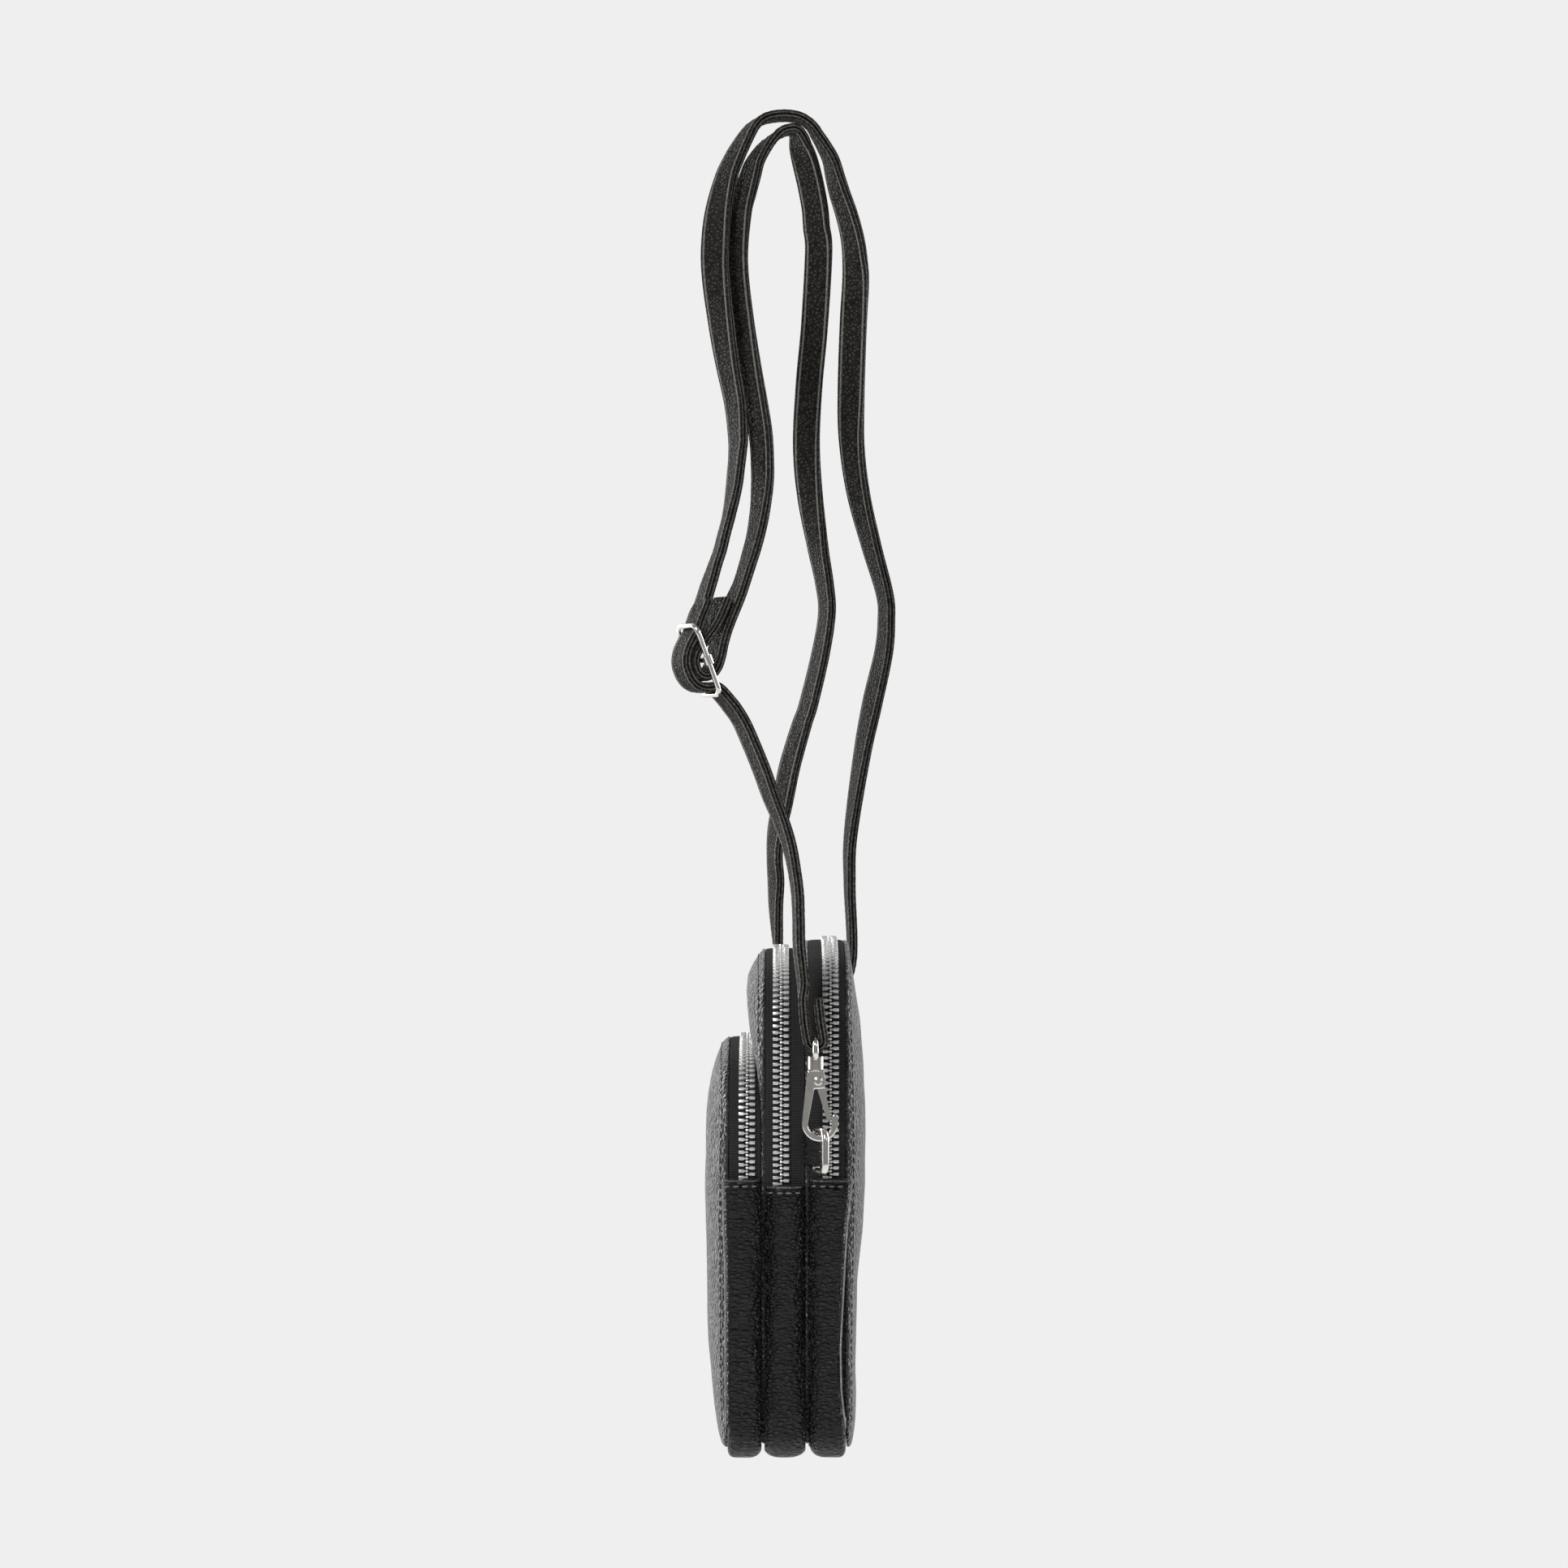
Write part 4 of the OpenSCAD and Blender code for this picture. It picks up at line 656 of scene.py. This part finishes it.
# Painted highlights: light lines along the outer edges of the front and rear gussets
wire("front_edge_highlight", edge_highlight_paths["front_gusset"], 0.32, EDGE, "pouch")
wire("rear_edge_highlight", edge_highlight_paths["rear_gusset"], 0.32, EDGE, "pouch")
# Painted highlights: lighter lines along the top fold of each hem
for (name, side), places in hem_highlight_paths.items():
    which = "_near_hem_highlight" if side > 0 else "_far_hem_highlight"
    wire(name + which, places, 0.34, HEM_HIGHLIGHT, "pouch")


# ---------------------------------------------------------------- zips
TAPE_THICK, TAPE_STEP, TAPE_BELOW = 0.6, 0.9, 3
# The outline of one tooth: outward from the chain's middle, and along the chain
TOOTH = np.array([(2.75, -0.54), (2.85, -0.45), (2.85, 0.45), (2.75, 0.54), (1.3, 0.60), (1.0, 0.5),
                  (0.8, 0.28), (0.5, 0.27), (0.15, 0.42), (-0.25, 0.37), (-0.45, 0.0), (-0.25, -0.37),
                  (0.15, -0.42), (0.5, -0.27), (0.8, -0.28), (1.0, -0.5), (1.3, -0.60)])


def tape(name, height, hem, y_edge, y_mid, node_name):
    along, path = zip_path(height, hem - TAPE_BELOW)
    way = 1 if y_mid > y_edge else -1
    width = abs(y_mid - y_edge)
    across = [0.0, 0.25, 0.6, 1.2, 2.2, width * 0.5, width - 3.0, width - 1.6, width - 0.9,
              width - 0.45, width - 0.2]
    across = np.unique(np.clip(across, 0, width))
    outs = np.interp(across, [0, 0.6, 1.6, width - 2.4, width - 1.2, width - 0.5, width],
                     [-0.45, -0.2, -0.05, 0.05, 0.05, 0.25, 0.0])
    section = [*zip(across, outs), *zip(across[::-1], outs[::-1] - TAPE_THICK)]
    steps = np.arange(0, along[-1], TAPE_STEP)
    rings, uvs = [], []
    for d in steps:
        p, n, _ = at(along, path, d)
        rings += [(p[0] + n[0] * o, y_edge + way * a, p[1] + n[1] * o) for a, o in section]
        uvs += [(d * MM, a * MM) for a, _ in section]
    make(name, to_row(rings), tube_faces(len(steps), len(section)), TAPE, "pouch", (node_name,),
         uvs)


def teeth(name, height, hem, zip_y, way, phase, node_name):
    """One row of teeth. It stops short of the parked slider's wedge at the far end."""
    along, path = zip_path(height, hem)
    run = along[-1] - (PARK_GAP + SLIDER / 2) + SLIDER * WEDGE_SHARE - TOOTH_GAP
    points, faces = [], []
    layers = [(-0.8, 1.0), (1.08, 1.0), (1.3, 0.93), (RISE, 0.78)]
    middle = TOOTH.mean(0)
    for k in range(int((run - phase) // PITCH)):
        p, n, t = at(along, path, phase + k * PITCH + 0.5)
        start = len(points)
        for o, scale in layers:
            for a, s in middle + (TOOTH - middle) * [min(1.0, scale + 0.04), scale]:
                points.append((p[0] + n[0] * o + t[0] * s, zip_y + way * a,
                               p[1] + n[1] * o + t[1] * s))
        faces += tube_faces(len(layers), len(TOOTH), start)
    obj = make(name, to_row(points), faces, TEETH, "pouch", (node_name,))
    obj.data.set_sharp_from_angle(angle=math.radians(50))


for name, (height, hem, zip_y, lo, hi) in ZIPS.items():
    tape(name + "_front_tape_weave", height, hem, lo, zip_y, name + "_zip_front_tape")
    tape(name + "_back_tape_weave", height, hem, hi, zip_y, name + "_zip_back_tape")
    teeth(name + "_front_tooth_row", height, hem, zip_y, -1, 0, name + "_zip_front_teeth")
    teeth(name + "_back_tooth_row", height, hem, zip_y, 1, PITCH / 2, name + "_zip_back_teeth")

# ---------------------------------------------------------------- strap
REACH, DROP = 64.0, 324.7
# The strap's route: shares of the hooks' reach in X and of the drop in Y and Z, and the way that
# the strap's width faces, in degrees
NEAR_RUN = [[1, 0.0085, -0.938, 8], [1, 0.0045, -0.902, 9], [0.995, 0.0038, -0.87, 8.5],
            [0.985, 0.0026, -0.8437, 10], [0.975, -0.001, -0.8177, 11.5],
            [0.965, -0.0065, -0.7916, 15.5], [0.95, -0.0145, -0.768, 20],
            [0.93, -0.0259, -0.7396, 24], [0.91, -0.0353, -0.7135, 25],
            [0.89, -0.0458, -0.6874, 25], [0.875, -0.0574, -0.6612, 25.5]]
OUTER_NEAR = [[0.97, -0.0979, -0.532, 22], [0.95, -0.0919, -0.512, 20], [0.92, -0.0862, -0.494, 15],
              [0.885, -0.0806, -0.477, 13], [0.85, -0.0762, -0.459, 12],
              [0.81, -0.0716, -0.441, 12], [0.77, -0.068, -0.423, 16], [0.73, -0.0654, -0.405, 20],
              [0.69, -0.0637, -0.387, 22], [0.655, -0.062, -0.369, 24], [0.62, -0.0616, -0.351, 29],
              [0.585, -0.0646, -0.314, 36], [0.54, -0.0731, -0.269, 43],
              [0.46, -0.0805, -0.222, 52], [0.37, -0.0872, -0.166, 66], [0.29, -0.0877, -0.128, 72],
              [0.21, -0.084, -0.09, 60], [0.14, -0.076, -0.053, 46], [0.1, -0.069, -0.034, 41],
              [0.07, -0.06, -0.015, 34], [0.04, -0.047, 0.0065, 22], [0.015, -0.033, 0.0165, 9]]
OUTER_FAR = [[0, -0.0126, 0.0202, 0], [0, 0.0055, 0.0178, 0], [-0.01, 0.0185, 0.0095, 4],
             [-0.03, 0.0265, -0.002, 10], [-0.04, 0.0335, -0.0135, 15], [-0.055, 0.041, -0.028, 21],
             [-0.085, 0.046, -0.046, 28], [-0.12, 0.051, -0.063, 34], [-0.15, 0.057, -0.08, 38],
             [-0.18, 0.0625, -0.098, 41], [-0.21, 0.0665, -0.116, 45], [-0.24, 0.0685, -0.133, 51],
             [-0.28, 0.0695, -0.158, 64], [-0.35, 0.067, -0.206, 78], [-0.47, 0.065, -0.28, 75],
             [-0.55, 0.066, -0.337, 55], [-0.63, 0.074, -0.394, 45], [-0.71, 0.089, -0.452, 33],
             [-0.77, 0.105, -0.508, 24], [-0.8, 0.107, -0.538, 24], [-0.83, 0.104, -0.575, 28],
             [-0.89, 0.091, -0.634, 34], [-0.92, 0.079, -0.695, 25], [-0.97, 0.066, -0.788, 14],
             [-0.98, 0.065, -0.846, 9], [-1, 0.067, -0.935, 5]]
INNER_FAR = [[-1, -0.018, -0.923, 4], [-0.99, -0.02, -0.897, 11], [-0.985, -0.0213, -0.8687, 18],
             [-0.98, -0.0211, -0.8403, 24], [-0.97, -0.0226, -0.8118, 22],
             [-0.965, -0.0205, -0.783, 29], [-0.96, -0.0146, -0.755, 37],
             [-0.94, -0.0063, -0.7123, 40], [-0.925, 0.0013, -0.684, 38],
             [-0.905, 0.0098, -0.656, 34], [-0.89, 0.017, -0.634, 31], [-0.83, 0.031, -0.575, 28],
             [-0.79, 0.038, -0.529, 25], [-0.75, 0.035, -0.495, 28], [-0.71, 0.027, -0.452, 38],
             [-0.63, 0.018, -0.394, 60], [-0.55, 0.014, -0.337, 80], [-0.45, 0.017, -0.271, 90],
             [-0.35, 0.023, -0.206, 88], [-0.23, 0.0275, -0.126, 76], [-0.19, 0.025, -0.099, 66],
             [-0.16, 0.0235, -0.081, 62], [-0.13, 0.0205, -0.064, 62], [-0.1, 0.0165, -0.046, 62],
             [-0.075, 0.012, -0.029, 58], [-0.06, 0.0075, -0.0135, 44],
             [-0.035, 0.005, -0.0015, 24]]
INNER_NEAR = [[-0.01, -0.0015, 0.005, 8], [0.01, -0.0145, 0.0015, 6], [0.03, -0.0245, -0.0065, 15],
              [0.05, -0.034, -0.017, 26], [0.08, -0.0447, -0.035, 34], [0.11, -0.0505, -0.054, 42],
              [0.13, -0.0567, -0.073, 52], [0.155, -0.0621, -0.091, 62], [0.2, -0.0665, -0.129, 74],
              [0.27, -0.066, -0.166, 74], [0.37, -0.0594, -0.222, 68], [0.47, -0.0517, -0.269, 57],
              [0.55, -0.0428, -0.314, 46], [0.62, -0.0367, -0.351, 41], [0.68, -0.0349, -0.387, 39],
              [0.71, -0.0352, -0.405, 37], [0.74, -0.0365, -0.423, 32], [0.77, -0.0388, -0.441, 29],
              [0.8, -0.0421, -0.459, 26], [0.825, -0.0466, -0.4765, 25],
              [0.85, -0.0517, -0.494, 23], [0.87, -0.0574, -0.512, 23]]
# The way through the adjuster, in shares of the turn round its bar
ADJUSTER_OUTER = [[2.3, -7.6], [1.8, -6.2], [1.4, -5.25], [1.03, -4.48], [0.55, -3.88],
                  [-0.3, -3.68], [-1.3, -3.3], [-2.12, -2.55], [-2.55, -1.55], [-2.68, -0.5],
                  [-2.57, 0.5], [-2.15, 1.42], [-1.5, 2.25], [-0.65, 2.95], [0.2, 3.58],
                  [0.75, 3.98], [1.4, 4.75], [2.1, 5.5], [2.9, 6.25]]
ADJUSTER_INNER = [[8, 5.5], [6.2, 3.8], [4.7, 2.3], [3.55, 0.9], [2.6, -0.45], [1.65, -1.5],
                  [0.55, -2.1], [-0.5, -2.05], [-1.2, -1.45], [-1.42, -0.55], [-1.25, 0.35],
                  [-0.75, 1.1], [0, 1.65], [0.95, 2.15], [2, 2.7], [3.2, 3.4], [4.4, 4.3],
                  [5.5, 5.3], [6.4, 6.2]]
EYE_TURN, BAR_TURN, FOLD = 2.78, 2.65, 14.0
NEAR_Y, FAR_Y, BACK = 10.626, 6.72, 3.5
BAR = np.array([1.0 * REACH, -0.1027 * DROP, -0.5956 * DROP])
BAR_TILT, BAR_YAW, BAR_FACING = math.radians(22), math.radians(29), 29
STRAP_STEP = 0.9


def placed(shares):
    return [(p[0] * REACH, p[1] * DROP, p[2] * DROP, p[3]) for p in shares]


def by_bar(turns):
    """Places round the adjuster's bar, from shares of the strap's turn round it."""
    c, s = math.cos(BAR_TILT), math.sin(BAR_TILT)
    level = np.array([-math.sin(BAR_YAW), math.cos(BAR_YAW), 0])
    way_out, way_up = c * level + [0, 0, s], -s * level + [0, 0, c]
    return [(*(BAR + a * BAR_TURN * way_out + b * BAR_TURN * way_up), BAR_FACING) for a, b in turns]


def eye_point(side, hook_y, back, up):
    return (side * REACH, hook_y - BACK + back, up - DROP, 0)


def around(side, hook_y, start=0):
    return [eye_point(side, hook_y, EYE_TURN * math.cos(a), EYE_TURN * math.sin(a))
            for a in map(math.radians, range(start, -181, -45))]


route = [eye_point(1, NEAR_Y, 0.35 * EYE_TURN, FOLD), eye_point(1, NEAR_Y, 0.6 * EYE_TURN, FOLD / 2),
         *around(1, NEAR_Y),
         eye_point(1, NEAR_Y, -1.4 * EYE_TURN, FOLD / 2), eye_point(1, NEAR_Y, -1.55 * EYE_TURN, FOLD),
         *placed(NEAR_RUN), *by_bar(ADJUSTER_OUTER), *placed(OUTER_NEAR), *placed(OUTER_FAR),
         eye_point(-1, FAR_Y, 4.4 * EYE_TURN, FOLD / 2), *around(-1, FAR_Y, -45),
         eye_point(-1, FAR_Y, -2.4 * EYE_TURN, FOLD / 2),
         *placed(INNER_FAR), *placed(INNER_NEAR), *by_bar(ADJUSTER_INNER)]


def curve_through(points, spacing):
    """A smooth curve through the route, resampled evenly: distances, places and facings."""
    padded = np.vstack([points[:1], points, points[-1:]])
    fine = []
    for a, b, c, d in zip(padded, padded[1:], padded[2:], padded[3:]):
        for t in np.linspace(0, 1, 24, endpoint=False):
            fine.append((2 * b + (c - a) * t + (2 * a - 5 * b + 4 * c - d) * t * t
                         + (3 * b - a - 3 * c + d) * t ** 3) / 2)
    fine = np.array(fine + [points[-1]])
    steps = np.linalg.norm(np.diff(fine[:, :3], axis=0), axis=1)
    along = np.concatenate([[0], np.cumsum(steps)])
    s = np.linspace(0, along[-1], int(along[-1] / spacing))
    return s, np.stack([np.interp(s, along, fine[:, k]) for k in range(4)], 1)


strap_s, strap_line = curve_through(np.array(route), STRAP_STEP)
strap_line, facing = strap_line[:, :3], np.radians(strap_line[:, 3])
tangent = np.gradient(strap_line, axis=0)
tangent /= np.linalg.norm(tangent, axis=1)[:, None]
level = np.stack([np.cos(facing), np.sin(facing), np.zeros_like(facing)], 1)
width_way = level - (level * tangent).sum(1)[:, None] * tangent
width_way /= np.linalg.norm(width_way, axis=1)[:, None]
face_way = np.cross(tangent, width_way)

# A quarter of the strap's section, from its side to the middle of its face
QUARTER = [(4.5, 0.0), (4.72, 0.14), (4.97, 0.4), (5.0, 0.8), (4.88, 1.25), (4.6, 1.5), (4.35, 1.56),
           (4.15, 1.46), (3.95, 1.56), (3.6, 1.58), (3.35, 1.44), (3.1, 1.56), (2.6, 1.62),
           (1.8, 1.63), (0.9, 1.6), (0.0, 1.58)]
PUCKER, PUCKER_SIZE, PUCKER_HALF, PUCKER_SEED = 0.10, 3.2, 3.2, 21
upper = QUARTER + [(-u, v) for u, v in QUARTER[-2::-1]]
section = np.array(upper + [(u, -v) for u, v in upper[-2:0:-1]])
count, stations = len(section), len(strap_s)
rings = (strap_line[:, None] + section[None, :, 0:1] * width_way[:, None]
         + section[None, :, 1:2] * face_way[:, None]).reshape(-1, 3)
quarter_arc = np.cumsum(np.hypot(*np.diff(np.array(QUARTER)[::-1], axis=0).T))
quarter_arc = np.concatenate([[0], quarter_arc])[::-1]
upper_arc = np.concatenate([quarter_arc, quarter_arc[-2::-1]])
arc = np.concatenate([upper_arc, upper_arc[-2:0:-1]])
strap_uv = np.stack([np.repeat(strap_s, count) * MM, np.tile(arc, stations) * MM], 1)
mid_zone = np.clip(1 - (np.abs(np.tile(section[:, 0], stations)) / PUCKER_HALF) ** 4, 0, 1)
side_of = np.sign(np.tile(section[:, 1], stations))
normal_of = np.repeat(face_way, count, axis=0) * side_of[:, None]
pucker = waves(np.stack([np.repeat(strap_s, count), side_of * 40, np.zeros(len(rings))], 1),
               PUCKER_SIZE, PUCKER_SEED)
rings = rings + normal_of * (PUCKER * pucker * mid_zone)[:, None]
make("strap_strip", rings * MM, tube_faces(stations, count), STRAP, "strap",
     ("strap_near_run", "strap_outer_near", "strap_outer_far", "strap_inner_far", "strap_inner_near"),
     strap_uv)

SEAM_OUT, SEAM_UP, STRAP_STITCH_PITCH = 3.8, 1.55, 2.5
spots = np.arange(2.0, strap_s[-1] - 2, STRAP_STITCH_PITCH)
index = np.searchsorted(strap_s, spots).clip(0, stations - 1)
seam_places, seam_ways, seam_normals = [], [], []
for u in (-SEAM_OUT, SEAM_OUT):
    for v in (-1, 1):
        on_face = strap_line[index] + u * width_way[index] + v * SEAM_UP * face_way[index]
        seam_places.append(on_face * MM)
        seam_ways.append(tangent[index])
        seam_normals.append(v * face_way[index])
stitches("strap_stitches", np.vstack(seam_places), np.vstack(seam_ways), np.vstack(seam_normals),
         0.0022, 0.0004, 0.00016, "strap", "strap_leather", LIGHT_THREAD)

# ---------------------------------------------------------------- ring tabs
RING_BAR_X, RING_Z, GROOVE_Y = 59.6, 109.7, 7.65
RING_WIRE_R, TAB_GAP, TAB_LEATHER, TAB_HALF = 1.25, 0.05, 0.65, (5.7, 0.62)


def tab(name, side, bar_y, node_name):
    """A strip folded round the ring's bar, its ends sewn into the rear groove."""
    bar = np.array([RING_BAR_X, bar_y])
    root = np.array([SEAM_HALF + 1.05, GROOVE_Y])
    lie = (bar - root) / np.linalg.norm(bar - root)
    across = np.array([-lie[1], lie[0]])
    mean = RING_WIRE_R + TAB_GAP + TAB_LEATHER
    base, open_half = math.atan2(lie[1], lie[0]), math.pi - math.acos(0.3)
    line = [root - across * 0.72, root + lie * 1.5 - across * 0.9]
    for a in np.linspace(base - open_half, base + open_half, 21):
        line.append(bar + mean * np.array([math.cos(a), math.sin(a)]))
    line += [root + lie * 1.5 + across * 0.9, root + across * 0.72]
    fine = [p + (q - p) * t for p, q in zip(line, line[1:]) for t in (0, 0.25, 0.5, 0.75)]
    fine = np.array(fine + [line[-1]])
    for _ in range(3):
        fine[1:-1] = (fine[:-2] + 2 * fine[1:-1] + fine[2:]) / 4
    way = np.gradient(fine, axis=0)
    way /= np.linalg.norm(way, axis=1)[:, None]
    out = np.stack([way[:, 1], -way[:, 0]], 1)
    half_z, half_t = TAB_HALF
    sec = [(z * half_z, half_t * (0.25 + 0.75 * math.sqrt(max(0.0, 1 - abs(z) ** 10))))
           for z in np.linspace(-1, 1, 15)]
    sec += [(z, -t) for z, t in sec[::-1]]
    rings = []
    for k, (p, o) in enumerate(zip(fine, out)):
        for z, t in sec:
            crease = 0.12 * math.sin(z * 2.1 + 1.3 * math.sin(k * 0.3)) * (1 if t > 0 else 0.3)
            q = p + o * (t + crease * 0.6)
            rings.append((side * q[0], q[1], RING_Z + z))
    make(name, to_row(rings), tube_faces(len(fine), len(sec)), GUSSET, "pouch", (node_name,))


tab("near_tab_fold", 1, 10.806, "near_tab")
tab("far_tab_fold", -1, GROOVE_Y, "far_tab")

# ---------------------------------------------------------------- metal parts kept from the model
# Each look comes with the radius of a real bevel, in metres, where the part takes one
for names, look, rounding in (
        (("near_hook", "far_hook"), HOOK_NICKEL, 0),
        (("near_gate", "far_gate"), NICKEL, 0.0003),
        (("near_eye", "far_eye", "near_ring", "far_ring", "adjuster_frame", "adjuster_bar"), NICKEL, 0),
        (("near_rivet", "far_rivet"), STEEL, 0.0002),
        (("front_slider", "middle_slider", "rear_slider"), ZIP_NICKEL, 0.0003),
        (("front_pull", "middle_pull", "rear_pull"), ZIP_NICKEL, 0.0003)):
    for name in names:
        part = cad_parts[name]
        part.data.materials.clear()
        part.data.materials.append(look)
        if rounding:
            weld = part.modifiers.new("weld", "WELD")
            weld.merge_threshold = 2e-6
            bevel = part.modifiers.new("bevel", "BEVEL")
            bevel.width = rounding
            bevel.segments = 3
            bevel.limit_method = "ANGLE"
            bevel.angle_limit = math.radians(35)

# ---------------------------------------------------------------- light, floor and world
BACKDROP = 0.863
FLOOR_HALF, FLOOR_Z, SHADOW_RADIUS, SHADOW_FADE = 0.8, -0.62, 0.16, 3.6


def lamp(name, place, aim, size, power):
    data = bpy.data.lights.new(name, "AREA")
    data.size = size
    data.energy = power
    o = bpy.data.objects.new(name, data)
    bpy.context.scene.collection.objects.link(o)
    o.location = place
    o.rotation_mode = "QUATERNION"
    o.rotation_quaternion = (Vector(aim) - Vector(place)).to_track_quat("-Z", "Y")


lamp("key", (1.3, -0.75, 0.45), (0, 0, -0.25), 0.45, 15)
lamp("fill", (1.2, 1.1, 0.1), (0, 0, -0.25), 0.6, 3)
lamp("left_edge", (-0.8, -1.15, 0.0), (0, 0, -0.35), 1.0, 18)
lamp("right_edge", (-0.8, 1.15, 0.0), (0, 0, -0.35), 1.0, 14)

# A pale room behind the object and a darker one in front of it light it, and the camera sees an
# even backdrop
world = bpy.data.worlds.new("world")
bpy.context.scene.world = world
world.use_nodes = True
wt = world.node_tree
room = node(wt, "ShaderNodeTexCoord")
room_split = fed(wt, "ShaderNodeSeparateXYZ", room.outputs["Generated"])
ahead = math_node(wt, "ADD", math_node(wt, "MULTIPLY", room_split.outputs[0], 0.5), 0.5)
above = math_node(wt, "MULTIPLY", math_node(wt, "MAXIMUM", room_split.outputs[2], 0.0), 0.25)
room_stops = [(0.0, 0.7), (0.3, 0.65), (0.52, 0.62), (0.74, 0.14), (1.0, 0.24)]
bg = wt.nodes["Background"]
wt.links.new(ramp(wt, math_node(wt, "ADD", ahead, above), room_stops), bg.inputs["Color"])
seen = node(wt, "ShaderNodeBackground", Color=(BACKDROP, BACKDROP, BACKDROP, 1))
mix = node(wt, "ShaderNodeMixShader")
wt.links.new(node(wt, "ShaderNodeLightPath").outputs["Is Camera Ray"], mix.inputs[0])
wt.links.new(bg.outputs[0], mix.inputs[1])
wt.links.new(seen.outputs[0], mix.inputs[2])
wt.links.new(mix.outputs[0], wt.nodes["World Output"].inputs["Surface"])

# The floor keeps the shadow under the object and turns into the backdrop further out
floor_mat, ft, fb = material("floor_pale")
fb.inputs["Base Color"].default_value = (0.82, 0.82, 0.82, 1)
fb.inputs["Roughness"].default_value = 0.9
fb.inputs["Specular IOR Level"].default_value = 0.1
spot = node(ft, "ShaderNodeTexCoord")
flat_spot = fed(ft, "ShaderNodeVectorMath", spot.outputs["Object"], operation="MULTIPLY")
flat_spot.inputs[1].default_value = (1, 1, 0)
span = fed(ft, "ShaderNodeVectorMath", flat_spot.outputs[0], operation="LENGTH")
past = math_node(ft, "SUBTRACT", span.outputs["Value"], SHADOW_RADIUS)
far_off = math_node(ft, "MULTIPLY", past, SHADOW_FADE, clamp=True)
rays = node(ft, "ShaderNodeLightPath")
mirrored = math_node(ft, "MAXIMUM", rays.outputs["Is Glossy Ray"], rays.outputs["Is Transmission Ray"])
looks = math_node(ft, "MAXIMUM", rays.outputs["Is Camera Ray"], mirrored)
glow = node(ft, "ShaderNodeEmission", Color=(BACKDROP, BACKDROP, BACKDROP, 1))
floor_mix = node(ft, "ShaderNodeMixShader")
ft.links.new(math_node(ft, "MULTIPLY", far_off, looks), floor_mix.inputs[0])
ft.links.new(fb.outputs[0], floor_mix.inputs[1])
ft.links.new(glow.outputs[0], floor_mix.inputs[2])
ft.links.new(floor_mix.outputs[0], ft.nodes["Material Output"].inputs["Surface"])
corners = [(-1, -1), (1, -1), (1, 1), (-1, 1)]
floor_mesh = bpy.data.meshes.new("floor")
floor_corners = [(a * FLOOR_HALF, b * FLOOR_HALF, FLOOR_Z) for a, b in corners]
floor_mesh.from_pydata(floor_corners, [], [(0, 1, 2, 3)])
floor = bpy.data.objects.new("floor", floor_mesh)
bpy.context.scene.collection.objects.link(floor)
floor_mesh.materials.append(floor_mat)

bpy.context.scene.view_settings.view_transform = "Standard"
